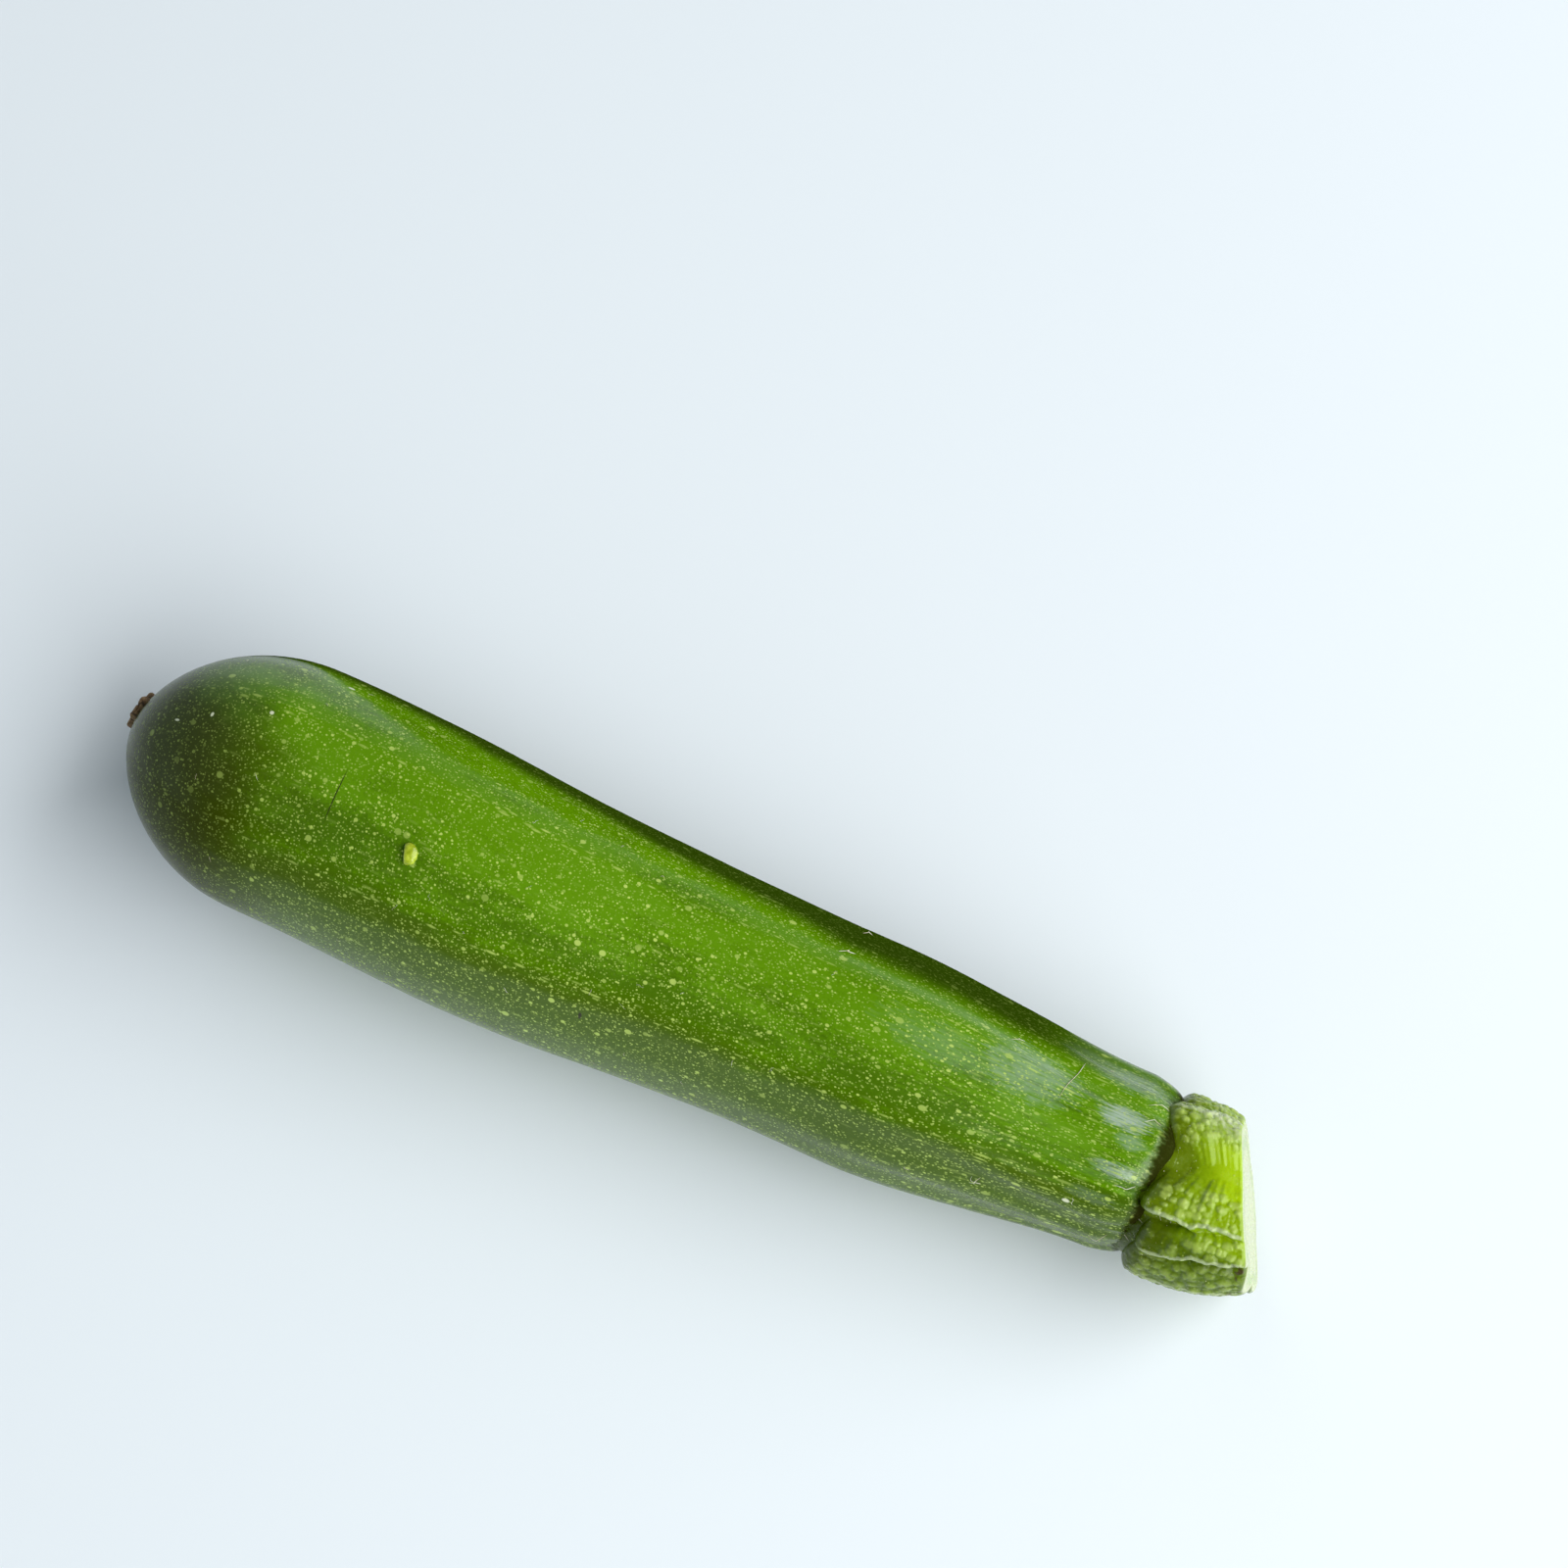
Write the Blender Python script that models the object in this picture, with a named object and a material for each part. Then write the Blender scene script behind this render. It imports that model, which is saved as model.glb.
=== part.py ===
"""A courgette as picked, lying on its belly.

It has three pieces: the fruit, the lobed foot of its stem with a slanted knife cut, and the corky scar
where the flower was. Metres, +Z up. +X runs along the fruit from the flower end to the stem, and the
fruit rests on z = 0. Angles round the fruit start at the top (+Z) and grow towards +Y.
"""

import math

import bmesh
import bpy

MM = 0.001

# The fruit. Distances along it start at the flower end, and a pair is where a change starts and ends.
FLOWER_END_X = -110.6 * MM
FRUIT_LENGTH = 202.0 * MM
BELLY_RADIUS = 23.1 * MM
WAIST_RADIUS = 19.85 * MM
NECK_RADIUS = 15.6 * MM
BELLY_TO_WAIST = (55.0 * MM, 137.0 * MM)
WAIST_TO_NECK = (143.0 * MM, 194.0 * MM)
FLOWER_CAP = 32.0 * MM
FLOWER_CAP_POWERS = (2.3, 0.62)
SHOULDER_CAP = 7.0 * MM
SHOULDER_CAP_POWERS = (3.0, 0.42)
SHOULDER_HOLLOW = 0.09
SHOULDER_HOLLOWS = (192.0 * MM, 199.0 * MM)
CENTRING = 0.75 * MM
BOW = 3.3 * MM
BOWS = (25.0 * MM, 90.0 * MM)
NECK_BEND = 1.0 * MM
NECK_BENDS = (118.0 * MM, 165.0 * MM)
RESTING_SINK = 0.5 * MM
RIDGES = 6
FIRST_RIDGE = math.radians(20)
RIDGE = 0.35 * MM
RIDGES_RISE = (0.0, 30.0 * MM)
LESSER_RIDGE_ON_BODY = 0.08 * MM
LESSER_RIDGE_AT_NECK = 0.40 * MM
LESSER_RIDGES_RISE = (110.0 * MM, 185.0 * MM)
NECK_TWIST = math.radians(12)
NECK_TWISTS = (160.0 * MM, 190.0 * MM)
FRUIT_SIDES = 72
FRUIT_RINGS = 38

# The stem's foot. Its lobes are (crest angle, width on the +angle side, width on the other, how lean
# these two sides are, height, how far it reaches back over the fruit, how far its crest turns on its
# way to the cut), in degrees and millimetres. A side with a leanness over 1 runs out in a soft hollow.
STEM_ROOT = 190.0 * MM
STEM_TIP = 201.0 * MM
STEM_CUT = 216.7 * MM
STEM_CORE = 13.3 * MM
ROOT_RADIUS = 12.0 * MM
STEM_SWELL = 0.35 * MM
LOBE_FALL = 0.13
STEM_OFFSET_Y = -0.8 * MM
STEM_OFFSET_Z = -0.6 * MM
CUT_NORMAL = (0.904, 0.370, 0.215)
LOBES = (
    (80, 36, 24, 0.6, 0.6, 3.0, 3.0, 0),
    (46, 20, 33, 0.6, 1.3, 2.9, 4.6, 8),
    (-30, 33, 5, 1.3, 0.6, 3.1, 3.0, 5),
    (-53, 20, 6, 0.6, 0.6, 3.0, 1.6, 16),
    (-86, 30, 34, 0.6, 0.6, 3.2, 2.6, 6),
    (-152, 32, 30, 0.6, 0.6, 2.6, 3.0, 6),
    (148, 28, 30, 0.6, 0.6, 2.8, 2.5, 6),
)
TIP_ROUND = 2.6 * MM
RIM_ROUND = 0.9 * MM
WORN_SIDE = math.radians(-98)
WORN_FROM = 7.6 * MM
WORN_RADIUS = 9.2 * MM
WORN_STRETCH = 1.3
WORN_TAPER = 3.0 * MM
STEM_SIDES = 110
ROOT_SHARES = (0.0, 0.6, 1.0)
TIP_RINGS = 4
WALL_RINGS = 7
RIM_RINGS = 2
FACE_SHARES = (0.9, 0.75, 0.5, 0.0)

# The flower scar, a corky disc let into the flower end.
SCAR_RADIUS = 3.6 * MM
SCAR_PROUD = 0.9 * MM
SCAR_DEPTH = 2.4 * MM
SCAR_DISH = 0.4 * MM
SCAR_SHIFT = (0.4 * MM, 3.2 * MM, 1.0 * MM)
SCAR_TURN = (0.0, math.radians(4), math.radians(-13))
SCAR_RIM_LUMPS = (7, 0.07)
SCAR_RIM_WAVES = (3, 0.04)
SCAR_SQUARENESS = 0.6
SCAR_SIDES = 28
SCAR_RINGS = 10

GAP = 0.3 * MM


def smoothstep(low, high, value):
    """0 below low, 1 above high and an S-curve between."""
    share = min(max((value - low) / (high - low), 0.0), 1.0)
    return share * share * (3 - 2 * share)


def body_radius(along):
    """The fruit's radius without its rounded ends: belly, waist and neck."""
    to_waist = smoothstep(*BELLY_TO_WAIST, along)
    to_neck = smoothstep(*WAIST_TO_NECK, along)
    return BELLY_RADIUS + (WAIST_RADIUS - BELLY_RADIUS) * to_waist + (NECK_RADIUS - WAIST_RADIUS) * to_neck


def lobe_share(lobe, angle, towards_cut):
    """1 on a lobe's crest, falling to 0 at the grooves beside it."""
    crest, wide_plus, wide_minus, lean_plus, lean_minus = lobe[:5]
    turned = crest + lobe[7] * (towards_cut - 0.5)
    off = (math.degrees(angle) - turned + 180) % 360 - 180
    wide, lean = (wide_plus, lean_plus) if off > 0 else (wide_minus, lean_minus)
    return math.cos(min(abs(off) / wide, 1.0) * math.pi / 2) ** lean


def end_rounding(along, angle):
    """The share of the radius left by the blunt flower end and the short shoulder under the stem.

    The shoulder is hollow under each lobe of the stem and swells between them.
    """
    share = 1.0
    for left, cap, (inner, outer) in (
        (along, FLOWER_CAP, FLOWER_CAP_POWERS),
        (FRUIT_LENGTH - along, SHOULDER_CAP, SHOULDER_CAP_POWERS),
    ):
        share *= max(1 - max(1 - left / cap, 0.0) ** inner, 0.0) ** outer
    under_lobes = max(lobe_share(lobe, angle, 0.0) for lobe in LOBES)
    return share * (1 - SHOULDER_HOLLOW * under_lobes * smoothstep(*SHOULDER_HOLLOWS, along))


def fruit_radius(along, angle):
    """The distance from the middle line to the skin, with six ridges and six lesser ones between.

    The lesser ridges grow into ribs at the neck, where they all turn a little.
    """
    lesser = LESSER_RIDGE_ON_BODY
    lesser += (LESSER_RIDGE_AT_NECK - LESSER_RIDGE_ON_BODY) * smoothstep(*LESSER_RIDGES_RISE, along)
    turned = angle - FIRST_RIDGE + NECK_TWIST * smoothstep(*NECK_TWISTS, along)
    ridges = RIDGE * math.cos(RIDGES * turned) + lesser * math.cos(2 * RIDGES * turned)
    return (body_radius(along) + ridges * smoothstep(*RIDGES_RISE, along)) * end_rounding(along, angle)


def middle(along):
    """A point of the fruit's middle line: it bows sideways, and sinks as the fruit gets slimmer."""
    across = CENTRING - BOW * smoothstep(*BOWS, along) - NECK_BEND * smoothstep(*NECK_BENDS, along)
    height = body_radius(min(along, WAIST_TO_NECK[0])) - RESTING_SINK
    return FLOWER_END_X + along, across, height


def stem_outline(angle, towards_cut):
    """(height of the lobes, how far they reach back over the fruit) at an angle."""
    shares = [lobe_share(lobe, angle, towards_cut) for lobe in LOBES]
    height = max(share * lobe[5] for share, lobe in zip(shares, LOBES)) * MM
    back = max(share * lobe[6] for share, lobe in zip(shares, LOBES)) * MM
    return height, back


def cut_distance(radius, angle):
    """How far along the fruit the knife cut lies here; on the worn side it curves back towards the fruit."""
    y, z = radius * math.sin(angle), radius * math.cos(angle)
    plane = STEM_CUT - CUT_NORMAL[1] / CUT_NORMAL[0] * y - CUT_NORMAL[2] / CUT_NORMAL[0] * z
    past = min(max(radius * math.cos(angle - WORN_SIDE) - WORN_FROM, 0.0) / WORN_RADIUS, 1.0)
    return plane - WORN_STRETCH * WORN_RADIUS * (1 - math.sqrt(1 - past * past))


def stem_rings():
    """The stages of a ring on its way over the stem, each with its share of that stage."""
    root = [("root", share) for share in ROOT_SHARES]
    tip = [("tip", step / TIP_RINGS) for step in range(TIP_RINGS + 1)]
    wall = [("wall", step / WALL_RINGS) for step in range(1, WALL_RINGS + 1)]
    rim = [("rim", step / RIM_RINGS) for step in range(1, RIM_RINGS + 1)]
    face = [("face", share) for share in FACE_SHARES]
    return root + tip + wall + rim + face


def wall_radius(share, angle, height):
    """The stem's radius a share of the way to the cut: swollen midway, and tapered on the worn side."""
    swell = STEM_SWELL * math.sin(share * math.pi)
    taper = WORN_TAPER * share**3 * max(math.cos(angle - WORN_SIDE), 0.0) ** 4
    return STEM_CORE + height * (1 - LOBE_FALL * share) + swell - taper


def stem_point(stage, share, angle):
    """(distance along, distance from the stem's middle) of the point at this stage and angle."""
    towards_cut = {"root": 0.0, "tip": 0.0, "wall": share}.get(stage, 1.0)
    height, back = stem_outline(angle, towards_cut)
    if stage == "root":
        return STEM_ROOT, ROOT_RADIUS * share
    first = STEM_TIP - back
    if stage == "tip":
        turn = share * math.pi / 2
        return first + TIP_ROUND * (1 - math.cos(turn)), STEM_CORE + height * math.sin(turn)
    full = wall_radius(1.0, angle, height)
    face = full - RIM_ROUND
    last = cut_distance(face, angle) - RIM_ROUND
    if stage == "wall":
        first += TIP_ROUND
        return first + (last - first) * share, wall_radius(share, angle, height)
    if stage == "rim":
        turn = share * math.pi / 2
        return last + RIM_ROUND * math.sin(turn), full - RIM_ROUND * (1 - math.cos(turn))
    return cut_distance(face * share, angle), face * share


def material(name, colour, roughness):
    """A plain Principled material."""
    made = bpy.data.materials.new(name)
    made.use_nodes = True
    shader = made.node_tree.nodes["Principled BSDF"]
    shader.inputs["Base Color"].default_value = (*colour, 1)
    shader.inputs["Roughness"].default_value = roughness
    shader.inputs["Metallic"].default_value = 0.0
    return made


def reshaped_sphere(name, sides, rings, place, collection, grow=0.0):
    """A sphere whose points are moved by place(ring number, distance share, angle), as one closed skin.

    The sphere's +Z pole becomes the flower end, and its rings are pushed out by grow.
    """
    mesh = bmesh.new()
    bmesh.ops.create_uvsphere(mesh, u_segments=sides, v_segments=rings, radius=1)
    for vertex in mesh.verts:
        ring = round(math.acos(max(-1.0, min(1.0, vertex.co.z))) / math.pi * rings)
        angle = math.atan2(vertex.co.y, vertex.co.x)
        vertex.co = place(ring, (1 - vertex.co.z) / 2, angle)
    mesh.normal_update()
    if grow:
        for vertex, normal in [(v, v.normal.copy()) for v in mesh.verts]:
            vertex.co += normal * grow
    data = bpy.data.meshes.new(name)
    mesh.to_mesh(data)
    mesh.free()
    data.shade_smooth()
    made = bpy.data.objects.new(name, data)
    collection.objects.link(made)
    return made


def place_on_fruit(ring, share, angle):
    """A point of the fruit's skin, flattened where the fruit rests."""
    along = share * FRUIT_LENGTH
    x, y, z = middle(along)
    radius = fruit_radius(along, angle)
    return x, y + radius * math.sin(angle), max(z + radius * math.cos(angle), 0.0)


def place_on_stem(ring, share, angle):
    """A point of the stem's foot."""
    along, radius = stem_point(*stem_rings()[ring], angle)
    _, y, z = middle(STEM_ROOT)
    y += STEM_OFFSET_Y + radius * math.sin(angle)
    return FLOWER_END_X + along, y, z + STEM_OFFSET_Z + radius * math.cos(angle)


def place_on_scar(ring, share, angle):
    """A point of the flower scar: a thick disc with a lumpy rim and a sunken middle."""
    polar = math.pi * ring / SCAR_RINGS
    lumps, lump_height = SCAR_RIM_LUMPS
    waves, wave_height = SCAR_RIM_WAVES
    rim = 1 + lump_height * math.sin(lumps * angle) + wave_height * math.sin(waves * angle + 1)
    radius = SCAR_RADIUS * rim * max(math.sin(polar), 0.0) ** SCAR_SQUARENESS
    if polar <= math.pi / 2:
        x = SCAR_DISH * (1 - (radius / SCAR_RADIUS) ** 2) - SCAR_PROUD * max(math.cos(polar), 0.0) ** 0.5
    else:
        x = -SCAR_DEPTH * math.cos(polar)
    return x, radius * math.sin(angle), radius * math.cos(angle)


def make_fruit(collection):
    """The fruit, one solid piece."""
    fruit = reshaped_sphere("fruit", FRUIT_SIDES, FRUIT_RINGS, place_on_fruit, collection)
    fruit.data.materials.append(material("courgette_skin", (0.10, 0.24, 0.02), 0.38))
    return fruit


def clear_of_fruit(piece, cutters):
    """Cuts a piece back to a hair's breadth from the fruit that it grows on."""
    cutter = reshaped_sphere("fruit_clearance", FRUIT_SIDES, FRUIT_RINGS, place_on_fruit, cutters, GAP)
    cutter.name = "clearance_under_" + piece.name
    cutter.hide_render = True
    cutter.display_type = "WIRE"
    cut = piece.modifiers.new("clear of the fruit", "BOOLEAN")
    cut.operation = "DIFFERENCE"
    cut.solver = "EXACT"
    cut.object = cutter


def make_stem(collection, cutters):
    """The lobed foot of the stem, cut off at a slant, seated on the fruit's shoulder."""
    rings = len(stem_rings()) - 1
    stem = reshaped_sphere("stem", STEM_SIDES, rings, place_on_stem, collection)
    stem.data.materials.append(material("stem_flesh", (0.16, 0.30, 0.03), 0.45))
    clear_of_fruit(stem, cutters)
    return stem


def make_flower_scar(collection, cutters):
    """The corky scar of the flower, tilted with the skin that it sits in."""
    scar = reshaped_sphere("flower_scar", SCAR_SIDES, SCAR_RINGS, place_on_scar, collection)
    scar.data.materials.append(material("scar_cork", (0.16, 0.09, 0.04), 0.85))
    scar.location = [start + shift for start, shift in zip(middle(0), SCAR_SHIFT)]
    scar.rotation_euler = SCAR_TURN
    clear_of_fruit(scar, cutters)
    return scar


def main():
    for old in list(bpy.data.objects):
        bpy.data.objects.remove(old, do_unlink=True)
    scene = bpy.context.scene
    scene.unit_settings.system = "METRIC"
    scene.unit_settings.scale_length = 1.0
    parts = bpy.data.collections.new("courgette")
    cutters = bpy.data.collections.new("cutters")
    scene.collection.children.link(parts)
    scene.collection.children.link(cutters)
    whole = bpy.data.objects.new("courgette", None)
    parts.objects.link(whole)
    for piece in (make_fruit(parts), make_stem(parts, cutters), make_flower_scar(parts, cutters)):
        piece.parent = whole


main()
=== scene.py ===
"""The looks of a courgette as picked, lying on its belly on a pale sheet.

Metres, +Z up. +X runs along the fruit from the flower end to the stem. Angles round the fruit start at
the top and grow towards +Y.
"""

import math

import bpy
import numpy as np
from mathutils import Euler, Matrix, Vector, noise
from mathutils.bvhtree import BVHTree


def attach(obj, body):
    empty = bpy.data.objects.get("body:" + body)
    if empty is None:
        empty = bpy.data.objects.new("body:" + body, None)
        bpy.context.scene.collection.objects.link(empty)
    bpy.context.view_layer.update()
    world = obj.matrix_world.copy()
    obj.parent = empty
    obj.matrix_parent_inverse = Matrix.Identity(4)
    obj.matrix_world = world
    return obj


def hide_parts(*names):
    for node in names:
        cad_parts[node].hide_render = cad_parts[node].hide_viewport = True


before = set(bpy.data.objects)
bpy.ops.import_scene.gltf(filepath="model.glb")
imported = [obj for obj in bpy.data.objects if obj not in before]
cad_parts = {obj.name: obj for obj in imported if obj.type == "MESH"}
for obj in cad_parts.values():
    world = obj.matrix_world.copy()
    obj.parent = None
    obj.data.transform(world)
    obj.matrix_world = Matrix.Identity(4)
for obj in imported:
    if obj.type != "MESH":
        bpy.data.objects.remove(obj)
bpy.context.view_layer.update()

# The studio. The courgette lies on a matt, pale bluish sheet. The camera looks down on it at the
# photograph's angle. Soft light comes from the right, as from a very wide window, with a weaker glow
# from the left and from a pale wall on the near side.

MM = 0.001
LOOK_AZIMUTH = math.radians(22.99)
LOOK_ELEVATION = math.radians(70)
LOOK_DISTANCE = 576.5 * MM
LOOK_HEIGHT = 20 * MM
LOOK_ACROSS = 15.8 * MM
LOOK_UP = 31.75 * MM
LENS = 50
SENSOR = 24
NEAREST_SEEN = 10 * MM
SHEET_SIDE = 4.0
SHEET_DROP = 0.1 * MM
SHEET_COLOUR = (0.80, 0.86, 0.90)
SHEET_ROUGHNESS = 0.65
WINDOW_TOWARDS = (0.80, 0.0, 0.60)
WINDOW_DISTANCE = 2.0
WINDOW_SIZE = (3.6, 2.2)
WINDOW_POWER = 101.0
ROOM_COLOUR = (0.80, 0.93, 1.0)
ROOM_OVERHEAD = 0.03
WALL_LIGHT = 0.5
WALL_FAR_SHARE = 0.3
WALL_SIDES = (-0.5, 0.0)
WALL_TOP = (0.34, 0.46)
LEFT_LIGHT = 0.60
LEFT_EDGE = (-0.85, -0.25)


class Amount:
    """A number that a node tree works out. Sums and products of amounts lay the nodes for them."""

    def __init__(self, plan, socket):
        self.plan = plan
        self.socket = socket

    def __add__(self, other):
        return self.plan.sum_of("ADD", self, other)

    def __radd__(self, other):
        return self.plan.sum_of("ADD", other, self)

    def __sub__(self, other):
        return self.plan.sum_of("SUBTRACT", self, other)

    def __rsub__(self, other):
        return self.plan.sum_of("SUBTRACT", other, self)

    def __mul__(self, other):
        return self.plan.sum_of("MULTIPLY", self, other)

    def __truediv__(self, other):
        return self.plan.sum_of("DIVIDE", self, other)

    def __pow__(self, other):
        return self.plan.sum_of("POWER", self, other)


class Plan:
    """Lays the nodes of one tree, a growing rule or a finish, in short calls."""

    def __init__(self, tree):
        self.tree = tree
        self.sizes = {}
        self.size_node = None

    def feed(self, node, inputs):
        """Gives a node its inputs; an input is named, or numbered where names repeat."""
        for name, value in dict(inputs).items():
            socket = node.inputs[name]
            if isinstance(value, Amount):
                self.tree.links.new(value.socket, socket)
            elif socket.type == "RGBA" and len(value) == 3:
                socket.default_value = (*value, 1)
            else:
                socket.default_value = value

    def node(self, kind, inputs=(), **settings):
        """A new node with its settings and inputs."""
        made = self.tree.nodes.new(kind)
        for name, value in settings.items():
            setattr(made, name, value)
        self.feed(made, inputs)
        return made

    def get(self, node, output=0):
        return Amount(self, node.outputs[output])

    def sum_of(self, operation, *values):
        return self.get(self.node("ShaderNodeMath", enumerate(values), operation=operation))

    def ramp(self, value, low, high, start=0.0, end=1.0, shape="SMOOTHSTEP"):
        """start below low, end above high and an S-curve, or a straight line, between."""
        inputs = {"Value": value, "From Min": low, "From Max": high, "To Min": start, "To Max": end}
        return self.get(self.node("ShaderNodeMapRange", inputs, interpolation_type=shape))

    def place(self, x, y, z):
        return self.get(self.node("ShaderNodeCombineXYZ", {"X": x, "Y": y, "Z": z}))

    def parts(self, vector):
        split = self.node("ShaderNodeSeparateXYZ", {0: vector})
        return [self.get(split, axis) for axis in "XYZ"]

    def scaled(self, vector, by):
        inputs = {0: vector, "Scale": by}
        return self.get(self.node("ShaderNodeVectorMath", inputs, operation="SCALE"))

    def stretched(self, vector, by):
        return self.get(self.node("ShaderNodeVectorMath", {0: vector, 1: by}, operation="MULTIPLY"))

    def clouds(self, vector, size, detail=2.0, roughness=0.5):
        """Soft noise from 0 to 1 in patches of about that size."""
        inputs = {"Vector": vector, "Scale": 1 / size, "Detail": detail, "Roughness": roughness}
        return self.get(self.node("ShaderNodeTexNoise", inputs), "Fac")

    def mixed(self, share, first, second):
        """One colour turning into another."""
        inputs = {"Factor": share, 6: first, 7: second}
        return self.get(self.node("ShaderNodeMix", inputs, data_type="RGBA"), 2)

    def place_on_piece(self):
        """Where a point lies, in its own piece's coordinates."""
        return self.get(self.node("ShaderNodeTexCoord"), "Object")

    def relief(self, strength, depth, height):
        """The normals of a fine relief."""
        inputs = {"Strength": strength, "Distance": depth, "Height": height}
        return self.get(self.node("ShaderNodeBump", inputs))

    def size(self, name, value, kind="NodeSocketFloat"):
        """A named input of a growing rule, with the value that this object gives it."""
        socket = self.tree.interface.new_socket(name, in_out="INPUT", socket_type=kind)
        self.sizes[socket.identifier] = value
        if self.size_node is None:
            self.size_node = self.node("NodeGroupInput")
        return self.get(self.size_node, name)

    def start_from(self):
        """The mesh that a growing rule starts from."""
        body = self.node("NodeGroupInput")
        self.tree.interface.new_socket("Geometry", in_out="INPUT", socket_type="NodeSocketGeometry")
        return self.get(body)

    def hand_over(self, grown, material):
        """Ends a growing rule: what has grown is made real and given its finish."""
        real = self.node("GeometryNodeRealizeInstances", {0: grown})
        finished = self.node("GeometryNodeSetMaterial", {"Geometry": self.get(real), "Material": material})
        self.tree.interface.new_socket("Geometry", in_out="OUTPUT", socket_type="NodeSocketGeometry")
        self.node("NodeGroupOutput", {0: self.get(finished)})


def finish_of(name):
    """A new material, the plan of its nodes and its shader."""
    made = bpy.data.materials.new(name)
    made.use_nodes = True
    return made, Plan(made.node_tree), made.node_tree.nodes["Principled BSDF"]


def set_out(name, data, finish=None):
    """Puts a thing in the scene, with its finish if it has one."""
    made = bpy.data.objects.new(name, data)
    scene.collection.objects.link(made)
    if finish:
        data.materials.append(finish)
    return made


scene = bpy.context.scene
scene.view_settings.view_transform = "Standard"
scene.view_settings.look = "None"

right = Vector((math.cos(LOOK_AZIMUTH), math.sin(LOOK_AZIMUTH), 0))
back = Vector((
    math.sin(LOOK_AZIMUTH) * math.cos(LOOK_ELEVATION),
    -math.cos(LOOK_AZIMUTH) * math.cos(LOOK_ELEVATION),
    math.sin(LOOK_ELEVATION),
))
up = back.cross(right)
camera = set_out("camera", bpy.data.cameras.new("camera"))
camera.data.lens = LENS
camera.data.sensor_width = SENSOR
camera.data.clip_start = NEAREST_SEEN
camera.location = Vector((0, 0, LOOK_HEIGHT)) + right * LOOK_ACROSS + up * LOOK_UP + back * LOOK_DISTANCE
camera.rotation_euler = Matrix((right, up, back)).transposed().to_euler()
scene.camera = camera

window = set_out("window", bpy.data.lights.new("window", "AREA"))
window.data.shape = "RECTANGLE"
window.data.size, window.data.size_y = WINDOW_SIZE
window.data.energy = WINDOW_POWER
window_way = Vector(WINDOW_TOWARDS).normalized()
window.location = window_way * WINDOW_DISTANCE
window.rotation_euler = window_way.to_track_quat("Z", "Y").to_euler()

room = bpy.data.worlds.new("room")
room.use_nodes = True
room_plan = Plan(room.node_tree)
way_x, way_y, way_z = room_plan.parts(room_plan.get(room_plan.node("ShaderNodeTexCoord"), "Generated"))
wall = room_plan.ramp(way_y, *WALL_SIDES, WALL_LIGHT, WALL_LIGHT * WALL_FAR_SHARE)
wall = wall * room_plan.ramp(way_z, *WALL_TOP, 1.0, 0.0) + ROOM_OVERHEAD
wall = wall + room_plan.ramp(way_x, *LEFT_EDGE, LEFT_LIGHT, 0.0)
room_plan.feed(room.node_tree.nodes["Background"], {"Color": ROOM_COLOUR, "Strength": wall})
scene.world = room

sheet_mesh = bpy.data.meshes.new("pale_sheet")
half = SHEET_SIDE / 2
sheet_corners = [(x * half, y * half, -SHEET_DROP) for x, y in ((-1, -1), (1, -1), (1, 1), (-1, 1))]
sheet_mesh.from_pydata(sheet_corners, [], [(0, 1, 2, 3)])
sheet_finish, sheet_plan, sheet_shader = finish_of("pale_sheet")
sheet_plan.feed(sheet_shader, {"Base Color": SHEET_COLOUR, "Roughness": SHEET_ROUGHNESS})
sheet = set_out("pale_sheet", sheet_mesh, sheet_finish)

# The fruit. One piece: a blunt flower end, a belly, a waist and a slimmer neck, softly six-sided, with a
# low ridge at each corner. Its shape follows one rule, so it is grown by that rule and skinned in one go.

FLOWER_END_X = -110.6 * MM
FRUIT_LENGTH = 202.0 * MM
BELLY_RADIUS = 23.1 * MM
WAIST_RADIUS = 19.85 * MM
NECK_RADIUS = 15.6 * MM
BELLY_TO_WAIST = (55.0 * MM, 137.0 * MM)
WAIST_TO_NECK = (143.0 * MM, 194.0 * MM)
FLOWER_CAP = 32.0 * MM
FLOWER_CAP_POWERS = (2.3, 0.62)
SHOULDER_CAP = 7.0 * MM
SHOULDER_CAP_POWERS = (3.0, 0.42)
SHOULDER_HOLLOW = 0.09
SHOULDER_HOLLOWS = (192.0 * MM, 199.0 * MM)
CENTRING = 0.75 * MM
BOW = 3.3 * MM
BOWS = (25.0 * MM, 90.0 * MM)
NECK_BEND = 1.0 * MM
NECK_BENDS = (118.0 * MM, 165.0 * MM)
RESTING_SINK = 0.5 * MM
RIDGES = 6
FIRST_RIDGE = math.radians(20)
RIDGE = 0.35 * MM
RIDGES_RISE = (0.0, 30.0 * MM)
RIDGE_EDGE = 0.10 * MM
RIDGE_EDGE_WIDTH = 0.016
LESSER_RIDGE_ON_BODY = 0.08 * MM
LESSER_RIDGE_AT_NECK = 0.40 * MM
LESSER_RIDGES_RISE = (110.0 * MM, 185.0 * MM)
NECK_TWIST = math.radians(12)
NECK_TWISTS = (160.0 * MM, 190.0 * MM)
NECK_CREASES = 36
NECK_CREASE = 0.07 * MM
NECK_CREASES_RISE = (150.0 * MM, 196.0 * MM)
SWELLS = 0.35 * MM
SWELL_LENGTH = 26.0 * MM
DIMPLES = 0.06 * MM
DIMPLE_LENGTH = 4.0 * MM
FRUIT_SIDES = 256
FRUIT_RINGS = 370
GRAIN_RADIUS = 21.0 * MM
GRAIN_STRETCHES = (110.0 * MM, 190.0 * MM)
GRAIN_AT_NECK = 0.65

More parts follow.
